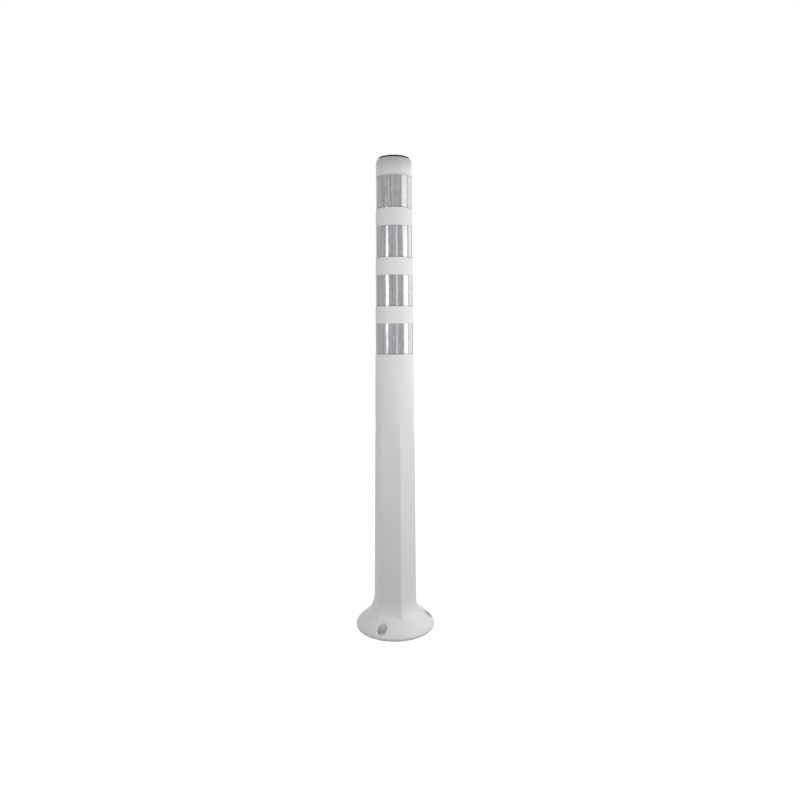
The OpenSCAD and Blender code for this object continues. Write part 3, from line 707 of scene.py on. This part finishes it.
def brass():
    tones = ((0.60, 0.43, 0.18), (0.78, 0.60, 0.30))
    grain = (1200.0, 3.0, 0.02 * MM, 0.4)
    return plain_finish("brass_contact", tones, (180.0, 500.0), (0.2, 0.34), grain, metallic=1.0)


def phosphor():
    """Amber face of the light-emitting diodes"""
    tones = ((0.80, 0.52, 0.12), (0.92, 0.70, 0.28))
    return plain_finish("led_amber", tones, (900.0, 500.0), (0.3, 0.45), (1500.0, 3.0, 0.03 * MM, 0.4))


def clear_window():
    """Clear cast resin over the solar panel, with faint swirls in its gloss"""
    tones = ((0.94, 0.97, 1.0), (0.98, 0.99, 1.0))
    grain = (45.0, 3.0, 0.05 * MM, 0.05)
    looks = {"transmission_weight": 1.0, "ior": 1.49}
    return plain_finish("clear_window", tones, (20.0, 50.0), (0.02, 0.06), grain, **looks)


def plated_steel():
    """Zinc-plated steel: metal with a faint crystal pattern and turning marks"""
    tint = (0.66, 0.665, 0.67)
    f = Finish("zinc_steel")
    flake = f.remap(f.crystals(900.0).outputs["Distance"], 0, 0.6, 0, 1)
    f.to_colour(f.mix(flake, shade(tint, 0.82), shade(tint, 1.05)))
    f.set(metallic=1.0)
    f.to_roughness(f.noise(700.0), 0.28, 0.42)
    f.bump(f.noise(900.0, 2.0, 0.5, (1, 1, 6)), 0.03 * MM, 0.4)
    return f.material


def silicon_cells(colours):
    """Dark blue silicon with fine silver fingers and two wider collector lines a strip"""
    finger_pitch, finger_width = 2.5 * MM, 0.2 * MM
    strip_pitch, lines_apart, line_width = 13 * MM, 5.5 * MM, 0.8 * MM
    f = Finish("silicon_cells")
    facet = f.add("ShaderNodeSeparateColor")
    f.link(f.crystals(210.0).outputs["Color"], facet.inputs["Color"])
    blue = f.mix(facet.outputs["Red"], shade(colours.cells, 0.75), shade(colours.cells, 1.5))
    fingers = f.math("LESS_THAN", f.math("PINGPONG", f.axis("Y"), finger_pitch / 2), finger_width / 2)
    strip = f.math("PINGPONG", f.axis("X"), strip_pitch / 2)
    line_off = f.math("ABSOLUTE", f.math("SUBTRACT", strip, lines_apart / 2))
    metal = f.math("MAXIMUM", fingers, f.math("LESS_THAN", line_off, line_width / 2))
    f.to_colour(f.mix(metal, blue, (0.50, 0.51, 0.53)))
    f.to_metal(f.times(metal, 0.6))
    f.link(f.remap(facet.outputs["Green"], 0, 1, 0.22, 0.34), f.shader.inputs["Roughness"])
    f.bump(f.noise(900.0, 2.0), 0.01 * MM, 0.2)
    return f.material


def circuit_board():
    """Green board with copper tracks under the mask"""
    f = Finish("circuit_board")
    track = f.add("ShaderNodeTexBrick", offset=0.35, squash=1.6)
    track.inputs["Scale"].default_value = 210.0
    track.inputs["Mortar Size"].default_value = 0.03
    f.link(f.place, track.inputs["Vector"])
    f.to_colour(f.mix(track.outputs["Fac"], (0.012, 0.085, 0.040), (0.03, 0.17, 0.08)))
    f.to_roughness(f.noise(300.0), 0.28, 0.4)
    f.bump(track.outputs["Fac"], 0.03 * MM, 0.5)
    f.set(coat_weight=0.4, coat_roughness=0.2)
    return f.material


def paired_leads(name, middle):
    """Insulation of a pair of leads: red on one side of the middle, black on the other"""
    f = Finish(name)
    scuff = f.noise(400.0)
    red = f.patches(scuff, (0.42, 0.022, 0.020), (0.52, 0.035, 0.030))
    black = f.patches(scuff, (0.012, 0.012, 0.012), (0.024, 0.024, 0.025))
    f.to_colour(f.mix(f.math("GREATER_THAN", f.axis("X"), middle), black, red))
    f.to_roughness(scuff, 0.34, 0.48)
    f.bump(f.noise(900.0, 2.0), 0.04 * MM, 0.4)
    return f.material


def wrapped_cell():
    """Rechargeable cell: glossy blue shrink wrap, with bare steel at both ends"""
    pole, edge = 2.4 * MM, 0.6 * MM
    f = Finish("battery_wrap")
    z = f.axis("Z")
    wrinkle = f.noise(90.0, 3.0, 0.5, (1, 1, 0.3))
    wrap = f.patches(wrinkle, (0.020, 0.085, 0.26), (0.028, 0.110, 0.32))
    steel = f.patches(f.noise(600.0), (0.52, 0.52, 0.53), (0.66, 0.66, 0.67))
    above = f.math("GREATER_THAN", z, top_of("battery") - pole)
    bare = f.math("MAXIMUM", above, f.math("LESS_THAN", z, low_of("battery") + edge))
    f.to_colour(f.mix(bare, wrap, steel))
    f.to_metal(bare)
    f.to_roughness(wrinkle, 0.22, 0.32)
    f.bump(wrinkle, 0.15 * MM, 0.3)
    return f.material


def board_components():
    """Black controller chip, copper-wound coil and aluminium capacitor, told apart by where they stand"""
    wire_pitch = 0.5 * MM
    low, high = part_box("board_parts")
    f = Finish("board_components")
    grain = f.noise(800.0, 2.0)
    chip = f.patches(grain, (0.014, 0.014, 0.015), (0.026, 0.026, 0.027))
    turns = f.remap(f.math("PINGPONG", f.axis("Z"), wire_pitch / 2), 0, wire_pitch / 2, 0, 1)
    copper = f.mix(turns, (0.20, 0.065, 0.025), (0.62, 0.26, 0.12))
    can = f.patches(grain, (0.60, 0.60, 0.61), (0.72, 0.72, 0.73))
    at_coil = f.math("LESS_THAN", f.axis("X"), low.x * 0.4)
    at_can = f.math("GREATER_THAN", f.axis("Y"), high.y * 0.45)
    f.to_colour(f.mix(at_can, f.mix(at_coil, chip, copper), can))
    f.to_metal(f.math("MAXIMUM", at_coil, at_can))
    f.to_roughness(grain, 0.3, 0.42)
    f.bump(turns, 0.08 * MM, 0.3)
    return f.material


# Pieces

# How far the foot's ribs and pocket walls end above the ground, and how far the ribs reach into the foot
GROUND_GAP = 0.2 * MM
SUNK = 2 * MM


def ring_key(radius, z):
    return round(radius / SAME_POINT), round(z / SAME_POINT)


def turned_outline(s, outer, middle, inner, outer_rule):
    """Turns a closed profile round the axis and moves its outer and inner rings out to the six-sided walls"""
    start = FRONT + s.facet_turn
    rings, points = {}, []
    for heights, rule in ((outer, outer_rule), (inner, inner_radius_at)):
        side = [(rule(s, z, 0.0), z) for z in heights]
        points.append(side)
        for radius, z in side:
            low_r, low_z = ring_key(radius, z)
            for i in range(9):
                rings[low_r + i % 3 - 1, low_z + i // 3 - 1] = (rule, z)
    bm = lathe(points[0] + middle + points[1], start=start)
    for vert in bm.verts:
        radius = math.hypot(vert.co.x, vert.co.y)
        rule, z = rings.get(ring_key(radius, vert.co.z), (None, 0.0))
        if rule:
            moved = rule(s, z, math.atan2(vert.co.y, vert.co.x) - start)
            vert.co.x *= moved / radius
            vert.co.y *= moved / radius
    return bm


def at_pockets(pockets):
    """The middle of each pocket, the first of them at the front"""
    for k in range(3):
        turn = FRONT + k * 2 * math.pi / 3
        yield pockets.ring_radius * math.cos(turn), pockets.ring_radius * math.sin(turn)


def cylinder(radius, low, high):
    return lathe([(0, low), (radius, low), (radius, high), (0, high)], 72, closed=False)


def pocket_cutter(s, pockets, x, y):
    """Cutter for one pocket: a bore whose rounded lip follows the dome all the way round"""
    chamfer, over_dome, reach, slope = 0.6 * MM, 90 * MM, 3 * MM, math.radians(20)
    lip = [
        (pockets.radius + pockets.lip * (1 - math.cos(a)), pockets.lip * (1 - math.sin(a)))
        for a in map(math.radians, (0, 18, 36, 54, 70))
    ]
    lip.append((lip[-1][0] + reach, lip[-1][1] - reach * math.tan(slope)))
    floors = (pockets.floor, pockets.floor, pockets.floor + chamfer)
    radii = [0.0, pockets.radius - chamfer, pockets.radius] + [out for out, _ in lip] + [lip[-1][0], 0.0]
    bm = lathe([(radius, i * MM) for i, radius in enumerate(radii)], 96, closed=False)
    for vert in bm.verts:
        ring = round(vert.co.z / MM)
        px, py = vert.co.x + x, vert.co.y + y
        z = over_dome
        if ring < len(floors):
            z = floors[ring]
        elif ring < len(floors) + len(lip):
            z = dome_height_at(s, math.hypot(px, py)) - lip[ring - len(floors)][1]
        vert.co = (px, py, z)
    bmesh.ops.recalc_face_normals(bm, faces=bm.faces)
    return bm


def pocket_wall(s, pockets, x, y):
    """The wall round one pocket under the dome, kept inside the foot's rim"""
    rim_clearance, under_dome = 5 * MM, 3 * MM
    wall = cylinder(pockets.radius + pockets.wall, 0.0, s.dome_height)
    for vert in wall.verts:
        place = Vector((vert.co.x + x, vert.co.y + y))
        place *= min(1.0, (s.foot_radius - rim_clearance) / place.length)
        high = dome_height_at(s, place.length) - under_dome
        vert.co = (place.x, place.y, high if vert.co.z > 0 else GROUND_GAP)
    bmesh.ops.recalc_face_normals(wall, faces=wall.faces)
    return wall


def foot_rib(s, inner, outer, ceiling, turn):
    """One rib under the foot, its upper edge sloping down to the rim"""
    half = s.rib_thickness / 2
    rib = box((inner - SUNK, -half, GROUND_GAP), (outer + SUNK, half, ceiling + SUNK))
    for vert in rib.verts:
        if vert.co.x > outer and vert.co.z > ceiling:
            vert.co.z = s.rim_height + SUNK
    bmesh.ops.rotate(rib, cent=(0, 0, 0), matrix=Matrix.Rotation(turn, 3, "Z"), verts=rib.verts)
    return rib


class DELINEATOR_OT_foot(bpy.types.Operator):
    """Build the domed foot, its ribs, pockets and flare, and the lower neck that bends"""

    bl_idname = "delineator.foot"
    bl_label = "Foot and lower neck"

    def execute(self, context):
        s = context.scene.delineator_moulding
        pockets = context.scene.delineator_pockets
        top, crease_top = s.neck_lower_top, s.dome_height * CLEAR_OF_DOME
        crease_bottom, corner_top = 34 * MM, 12 * MM
        outer = (
            steps(top, s.flare_top, NECK_STEPS)
            + steps(s.flare_top, crease_top, 14)[1:]
            + steps(crease_top, crease_bottom, 34)[1:]
            + steps(crease_bottom, corner_top, 14)[1:]
            + [s.rim_height + rise * MM for rise in (3.5, 2.3, 1.2, 0.4)]
        )
        hollow = s.foot_radius - s.foot_skin - 1 * MM
        ring = s.core_radius + s.core_ring
        ceiling = s.dome_height - s.foot_skin
        core_top = s.dome_height + s.floor_rise
        under = rounded((
            (s.foot_radius, s.rim_height, 0),
            (s.foot_radius, s.foot_edge, 0.6 * MM),
            (s.foot_radius - s.foot_edge, 0, 0.5 * MM),
            (hollow, 0, 0.5 * MM),
            (hollow, s.rim_height, 1 * MM),
            (s.dome_radius, ceiling, 2 * MM),
            (ring, ceiling, 1 * MM),
            (ring, 0, 0.5 * MM),
            (s.core_radius, 0, 0.5 * MM),
            (s.core_radius, core_top, 0.8 * MM),
            (s.core_radius + 9 * MM, core_top, 0),
        ))
        inner = steps(core_top, s.flare_top, 8) + steps(s.flare_top, top, NECK_STEPS)[1:]
        bm = turned_outline(s, outer, supported(under, closed=False), inner, foot_radius_at)
        ribs = [
            foot_rib(s, ring, hollow, ceiling, FRONT + (k + 0.5) * 2 * math.pi / s.rib_count)
            for k in range(s.rib_count)
        ]
        walls, cutters = [], []
        for x, y in at_pockets(pockets):
            walls.append(pocket_wall(s, pockets, x, y))
            bore = cylinder(pockets.bush_radius, -1 * MM, pockets.floor + 1 * MM)
            bmesh.ops.translate(bore, vec=(x, y, 0), verts=bore.verts)
            cutters += [pocket_cutter(s, pockets, x, y), bore]
        foot = carve(bm, "foot_moulding", ribs + walls, cutters, SOFT_RIDGES)
        dress(foot, "white_moulding", ("foot", "neck_lower"))
        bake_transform(foot)
        return {"FINISHED"}


class DELINEATOR_OT_tube(bpy.types.Operator):
    """Build the tube from the neck ring to the lamp's socket, with the upper neck and the bands' seats"""

    bl_idname = "delineator.tube"
    bl_label = "Tube and upper neck"

    def execute(self, context):
        s = context.scene.delineator_moulding
        bands = context.scene.delineator_bands
        pitch = bands.height + bands.collar
        tops = [bands.first_top - i * pitch for i in range(bands.number)]
        seats_from = tops[-1] - bands.height - 1.2 * MM
        heights = (
            [s.neck_lower_top]
            + steps(s.neck_upper_bottom, s.neck_upper_top, NECK_STEPS)
            + steps(s.neck_upper_top, s.facet_full, 6)[1:]
            + steps(s.facet_full, s.facet_top, 16)[1:]
            + steps(s.facet_top, seats_from, 4)[1:]
        )
        lip, root = 0.35 * MM, 0.15 * MM
        corners = [(ridge_radius(s, seats_from), seats_from, 0)]
        for top in reversed(tops):
            low = top - bands.height
            seat = ridge_radius(s, top) - bands.seat_depth
            corners += [
                (ridge_radius(s, low), low, lip), (seat, low, root),
                (seat, top, root), (ridge_radius(s, top), top, lip),
            ]
        corners += [
            (s.top_radius, s.tube_top, 0.5 * MM),
            (s.socket_radius, s.tube_top, 0.5 * MM),
            (s.socket_radius, s.socket_bottom, 0),
            (ridge_radius(s, s.socket_bottom) - s.wall, s.socket_bottom - s.socket_taper, 0),
        ]
        seats = supported(rounded(corners, 3)[1:], closed=False)
        bm = turned_outline(s, heights, seats, heights[::-1], outer_radius_at)
        tube = to_object(bm, "tube_moulding", SOFT_RIDGES)
        dress(tube, "white_moulding", ("neck_ring", "neck_upper", "post_tube"))
        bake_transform(tube)
        return {"FINISHED"}


class DELINEATOR_OT_bands(bpy.types.Operator):
    """Build the four reflective films, each with its butt seam"""

    bl_idname = "delineator.bands"
    bl_label = "Reflective bands"

    def execute(self, context):
        s = context.scene.delineator_moulding
        bands = context.scene.delineator_bands
        soft = 0.12 * MM
        for i in range(bands.number):
            top = bands.first_top - i * (bands.height + bands.collar)
            seat = ridge_radius(s, top) - bands.seat_depth + bands.glue
            low, high = top - bands.height + bands.edge_gap, top - bands.edge_gap
            outer = seat + bands.film
            corners = ((seat, low, 0), (outer, low, soft), (outer, high, soft), (seat, high, 0))
            profile = supported(rounded(corners, 2))
            gap = bands.seam / seat
            turn = Matrix.Rotation(bands.seam_start + i * bands.seam_step + gap / 2, 3, "Z")
            bm = bmesh.new()
            verts = [bm.verts.new(turn @ Vector((r, 0, z))) for r, z in profile]
            face = bm.faces.new(verts)
            bmesh.ops.spin(
                bm, geom=[face] + verts + list(face.edges), cent=(0, 0, 0), axis=(0, 0, 1), dvec=(0, 0, 0),
                angle=2 * math.pi - gap, steps=240, use_merge=False, use_duplicate=False,
            )
            bmesh.ops.recalc_face_normals(bm, faces=bm.faces)
            film = to_object(bm, f"film_{i + 1}")
            dress(film, "reflective_film", (f"band_{i + 1}",), "post_body")
        return {"FINISHED"}


class DELINEATOR_OT_collar(bpy.types.Operator):
    """Build the frosted collar that the lamp shines through"""

    bl_idname = "delineator.collar"
    bl_label = "Frosted collar"

    def execute(self, context):
        lamp = context.scene.delineator_lamp
        low, high, wall = lamp.collar_bottom, lamp.collar_top, lamp.collar_wall
        outer_r = context.scene.delineator_moulding.top_radius
        inner_r = outer_r - wall
        rib_r, rib_top = inner_r - lamp.rib, lamp.deck_top + lamp.rib
        across, down = lamp.shoulder_width, lamp.shoulder_height
        shoulder = [
            (outer_r - across * (1 - math.cos(a)), high - down * (1 - math.sin(a)))
            for a in steps(0, math.pi / 2, 14)
        ]
        inside = rounded((
            (lamp.hole_radius, high, 0.4 * MM),
            (lamp.hole_radius, high - wall, 0.3 * MM),
            (inner_r - across, high - wall, 2 * MM),
            (inner_r, high - wall - down, 3 * MM),
            (inner_r, rib_top, 0.3 * MM),
            (rib_r, rib_top, 0.3 * MM),
            (rib_r, lamp.deck_top, 0),
            (inner_r, lamp.deck_top, 0),
            (inner_r, low, 0.3 * MM),
            (outer_r, low, 0.5 * MM),
        ))
        collar = to_object(lathe(supported(shoulder + inside)), "frosted_collar", 50)
        dress(collar, "frosted_collar", ("lens_collar",), "lamp_body")
        return {"FINISHED"}


class DELINEATOR_OT_window(bpy.types.Operator):
    """Build the clear window over the solar panel, with its rounded edge"""

    bl_idname = "delineator.window"
    bl_label = "Window"

    def execute(self, context):
        lamp = context.scene.delineator_lamp
        high, low, r = lamp.window_top, lamp.window_bottom, lamp.window_radius
        chamfer, crown = 0.2 * MM, 0.5 * MM
        dome = [(r * math.cos(a), high - crown + crown * math.sin(a)) for a in steps(0, math.pi / 2, 14)[:-1]]
        profile = [(0, low), (r - chamfer, low), (r, low + chamfer)] + dome + [(0, high)]
        window = to_object(lathe(profile, 120, closed=False), "panel_cover", 30)
        dress(window, "clear_window", ("panel_window",), "lamp_body")
        return {"FINISHED"}


class DELINEATOR_OT_fittings(bpy.types.Operator):
    """Round the edges of the lamp's rim, cup, cover, switch and screws, and of the foot's bushes"""

    bl_idname = "delineator.fittings"
    bl_label = "Lamp fittings and bushes"

    def execute(self, context):
        kinds = (
            ("bezel_ring", 0.35, "black_plastic", "lamp_body"),
            ("lamp_chassis", 0.4, "grey_plastic", "lamp_body"),
            ("battery_cover", 0.4, "black_plastic", "lamp_body"),
            ("battery_holder", 0.25, "black_plastic", "lamp_body"),
            ("switch_body", 0.3, "black_plastic", "lamp_body"),
            ("power_button", 0.25, "red_plastic", "button_body"),
            ("anchor_bushes", 0.5, "zinc_steel", "foot_body"),
            ("cover_screws", 0.12, "zinc_steel", "lamp_body"),
            ("board_screws", 0.12, "zinc_steel", "lamp_body"),
            ("bezel_screws", 0.12, "zinc_steel", "lamp_body"),
            ("reflector_cone", 0.2, "white_plastic", "lamp_body"),
        )
        for node, edge, finish, body in kinds:
            dress(softened(node, edge * MM), finish, (node,), body)
        return {"FINISHED"}


class DELINEATOR_OT_spring(bpy.types.Operator):
    """Wind the button's spring as a real coil"""

    bl_idname = "delineator.spring"
    bl_label = "Button spring"

    def execute(self, context):
        low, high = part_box("button_spring")
        tall = high.z - low.z
        centre = (low + high) / 2
        wire = 0.4 * MM
        radius = (high.x - low.x) / 2 - wire
        turns, per_turn, sides = 4.5, 28, 10
        parts = int(turns * per_turn)
        bm = bmesh.new()
        rings = []
        for k in range(parts + 1):
            turn = 2 * math.pi * k / per_turn
            out = Vector((math.cos(turn), math.sin(turn), 0))
            middle = Vector((centre.x, centre.y, low.z + wire + (tall - 2 * wire) * coil_rise(k / parts)))
            middle += out * radius
            rings.append([
                bm.verts.new(middle + out * wire * math.cos(a) + Vector((0, 0, wire * math.sin(a))))
                for a in steps(0, 2 * math.pi, sides)[:-1]
            ])
        for one, two in zip(rings, rings[1:]):
            for i in range(sides):
                bm.faces.new((one[i], one[(i + 1) % sides], two[(i + 1) % sides], two[i]))
        bm.faces.new(rings[0])
        bm.faces.new(rings[-1])
        bmesh.ops.recalc_face_normals(bm, faces=bm.faces)
        spring = to_object(bm, "button_coil", 50)
        dress(spring, "zinc_steel", ("button_spring",), "lamp_body")
        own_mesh(spring)
        return {"FINISHED"}


class DELINEATOR_OT_finishes(bpy.types.Operator):
    """Make the materials and give the CAD pieces theirs"""

    bl_idname = "delineator.finishes"
    bl_label = "Finishes"

    def execute(self, context):
        colours = context.scene.delineator_colours
        white_moulding(colours, context.scene.delineator_pockets)
        reflective_film(colours, context.scene.delineator_bands)
        frosted_collar(colours)
        clear_window()
        between_switch_leads = (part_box("switch_leads")[0].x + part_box("switch_leads")[1].x) / 2
        kinds = {
            moulded_plastic("black_plastic", colours.black, 0.5, 0.25): (
                "bezel_ring", "battery_holder", "battery_cover", "switch_body",
            ),
            moulded_plastic("grey_plastic", colours.grey, 0.45): ("lamp_chassis",),
            moulded_plastic("white_plastic", (0.85, 0.85, 0.85), 0.3): ("reflector_cone",),
            moulded_plastic("red_plastic", (0.50, 0.025, 0.02), 0.32): ("power_button",),
            moulded_plastic("lead_insulation", (0.45, 0.03, 0.03), 0.4): ("battery_leads",),
            soft_rubber(): ("bezel_seal", "chassis_seal", "cover_gasket"),
            plated_steel(): (
                "anchor_bushes", "bezel_screws", "board_screws", "cover_screws", "button_spring",
            ),
            circuit_board(): ("solar_panel", "led_board"),
            board_components(): ("board_parts",),
            silicon_cells(colours): ("solar_cells",),
            brass(): ("battery_contacts",),
            phosphor(): ("leds",),
            wrapped_cell(): ("battery",),
            paired_leads("panel_lead_pair", 0.0): ("panel_leads",),
            paired_leads("switch_lead_pair", between_switch_leads): ("switch_leads",),
        }
        for material, nodes in kinds.items():
            for node in nodes:
                paint(node, material)
        return {"FINISHED"}


# Stage

OPEN_SPREAD = 180
NARROW_SPREAD = 100


def towards(turn, azimuth):
    """Level unit vector at an azimuth, counted to the right from the camera's side"""
    a = turn + azimuth
    return Vector((math.sin(a), -math.cos(a), 0))


def panel_light(name, place, aim, width, height, radiance):
    data = bpy.data.lights.new(name, "AREA")
    data.shape = "RECTANGLE"
    data.size, data.size_y = width, height
    data.energy = radiance * math.pi * width * height
    light = bpy.data.objects.new(name, data)
    light.visible_camera = False
    light.location = place
    light.rotation_mode = "QUATERNION"
    light.rotation_quaternion = (Vector(aim) - Vector(place)).to_track_quat("-Z", "Y")
    bpy.context.scene.collection.objects.link(light)
    return light


def white_glow(tree, kind, strength):
    node = tree.nodes.new(kind)
    node.inputs["Color"].default_value = (1, 1, 1, 1)
    node.inputs["Strength"].default_value = strength
    return node.outputs[0]


def chosen(tree, factor, first, second):
    """The first shader where the factor is 0 and the second where it is 1"""
    node = tree.nodes.new("ShaderNodeMixShader")
    for socket, source in zip(node.inputs, (factor, first, second)):
        tree.links.new(source, socket)
    return node.outputs[0]


def seen_by_camera(tree):
    """1 for rays that show a background: camera, glossy and transmission rays"""
    rays = tree.nodes.new("ShaderNodeLightPath").outputs
    total = rays["Is Camera Ray"]
    for kind in ("Is Glossy Ray", "Is Transmission Ray"):
        add = tree.nodes.new("ShaderNodeMath")
        add.operation = "ADD"
        add.use_clamp = True
        tree.links.new(total, add.inputs[0])
        tree.links.new(rays[kind], add.inputs[1])
        total = add.outputs[0]
    return total


def pale_floor(stage):
    """A floor that catches soft shadows, looks white to the camera and is clear from below"""
    material = bpy.data.materials.new("pale_floor")
    tree = fresh_tree(material)
    matt = tree.nodes.new("ShaderNodeBsdfDiffuse")
    matt.inputs["Color"].default_value = (stage.floor_shade, stage.floor_shade, stage.floor_shade, 1)
    dark = white_glow(tree, "ShaderNodeEmission", 0.0)
    lit = white_glow(tree, "ShaderNodeEmission", stage.floor_glow)
    both = tree.nodes.new("ShaderNodeAddShader")
    tree.links.new(matt.outputs[0], both.inputs[0])
    tree.links.new(chosen(tree, seen_by_camera(tree), dark, lit), both.inputs[1])
    clear = tree.nodes.new("ShaderNodeBsdfTransparent")
    below = tree.nodes.new("ShaderNodeNewGeometry").outputs["Backfacing"]
    surface = chosen(tree, below, both.outputs[0], clear.outputs[0])
    tree.links.new(surface, tree.nodes.new("ShaderNodeOutputMaterial").inputs["Surface"])
    return material


class DELINEATOR_OT_stage(bpy.types.Operator):
    """Build the floor, the soft lights, the plain surroundings and the camera"""

    bl_idname = "delineator.stage"
    bl_label = "Stage"

    def execute(self, context):
        scene = context.scene
        stage = scene.delineator_stage
        turn = stage.camera_turn
        scene.view_settings.view_transform = "Standard"

        scene.world = bpy.data.worlds.new("plain_surroundings")
        tree = fresh_tree(scene.world)
        plain = white_glow(tree, "ShaderNodeBackground", stage.world_level)
        white = white_glow(tree, "ShaderNodeBackground", 1.0)
        surroundings = chosen(tree, seen_by_camera(tree), plain, white)
        tree.links.new(surroundings, tree.nodes.new("ShaderNodeOutputWorld").inputs["Surface"])

        bm = bmesh.new()
        bmesh.ops.create_circle(bm, cap_ends=True, radius=14.0, segments=96)
        bmesh.ops.translate(bm, vec=(0, 0, -0.2 * MM), verts=bm.verts)
        floor = to_object(bm, "floor")
        floor.data.materials.append(pale_floor(stage))

        for name, azimuth, reach, height, width, tall, radiance, mirrored in (
            ("key_right", 76, 1.45, 0.78, 0.85, 0.96, 1.9, True),
            ("key_right_core", 83, 1.45, 0.70, 0.26, 0.76, 0.9, True),
            ("key_right_high", 72, 1.45, 1.52, 1.10, 0.52, 1.3, True),
            ("rim_right", 118, 1.60, 1.05, 1.10, 1.30, 1.1, True),
            ("strip_front", 17, 1.60, 0.98, 0.26, 0.76, 1.1, True),
            ("strip_left", -44, 1.60, 1.00, 0.40, 0.68, 2.0, True),
            ("strip_left_core", -43, 1.60, 1.00, 0.22, 0.20, 13.0, True),
            ("fill_front", -15, 1.15, 0.90, 0.60, 0.60, 0.95, False),
            ("fill_right", 62, 1.15, 0.90, 0.60, 0.60, 0.5, False),
        ):
            place = towards(turn, math.radians(azimuth)) * reach
            aim = (0, 0, height - 0.12)
            light = panel_light(name, (place.x, place.y, height), aim, width, tall, radiance)
            light.data.spread = math.radians(OPEN_SPREAD if mirrored else NARROW_SPREAD)
            light.visible_glossy = mirrored

        camera_data = bpy.data.cameras.new("photo_camera")
        camera_data.lens = camera_data.sensor_width * stage.focal_share
        camera_data.clip_start, camera_data.clip_end = 0.05, 100.0
        camera = bpy.data.objects.new("photo_camera", camera_data)
        place = towards(turn, 0) * stage.camera_distance
        camera.location = (place.x, place.y, stage.camera_height)
        camera.rotation_mode = "XYZ"
        camera.rotation_euler = (math.pi / 2 - stage.camera_pitch, stage.camera_roll, turn - stage.camera_yaw)
        scene.collection.objects.link(camera)
        scene.camera = camera
        return {"FINISHED"}


class DELINEATOR_PT_pieces(bpy.types.Panel):
    """Lists the pieces of the delineator post"""

    bl_idname = "DELINEATOR_PT_pieces"
    bl_label = "Delineator Post"
    bl_space_type = "VIEW_3D"
    bl_region_type = "UI"
    bl_category = "Delineator"

    def draw(self, context):
        for piece in PIECES:
            self.layout.operator(piece.bl_idname)


GROUPS = {
    "delineator_moulding": MouldingSizes,
    "delineator_pockets": PocketSizes,
    "delineator_bands": BandSizes,
    "delineator_lamp": LampSizes,
    "delineator_colours": FinishColours,
    "delineator_stage": StageSettings,
}
PIECES = (
    DELINEATOR_OT_finishes,
    DELINEATOR_OT_foot,
    DELINEATOR_OT_tube,
    DELINEATOR_OT_bands,
    DELINEATOR_OT_collar,
    DELINEATOR_OT_window,
    DELINEATOR_OT_fittings,
    DELINEATOR_OT_spring,
    DELINEATOR_OT_stage,
)


def register():
    for group in GROUPS.values():
        bpy.utils.register_class(group)
    for name, group in GROUPS.items():
        setattr(bpy.types.Scene, name, bpy.props.PointerProperty(type=group))
    for piece in PIECES:
        bpy.utils.register_class(piece)
    bpy.utils.register_class(DELINEATOR_PT_pieces)


def unregister():
    bpy.utils.unregister_class(DELINEATOR_PT_pieces)
    for piece in reversed(PIECES):
        bpy.utils.unregister_class(piece)
    for name in GROUPS:
        delattr(bpy.types.Scene, name)
    for group in reversed(list(GROUPS.values())):
        bpy.utils.unregister_class(group)


def main():
    register()
    bpy.ops.delineator.finishes()
    bpy.ops.delineator.foot()
    bpy.ops.delineator.tube()
    bpy.ops.delineator.bands()
    bpy.ops.delineator.collar()
    bpy.ops.delineator.window()
    bpy.ops.delineator.fittings()
    bpy.ops.delineator.spring()
    bpy.ops.delineator.stage()


if __name__ == "__main__":
    main()
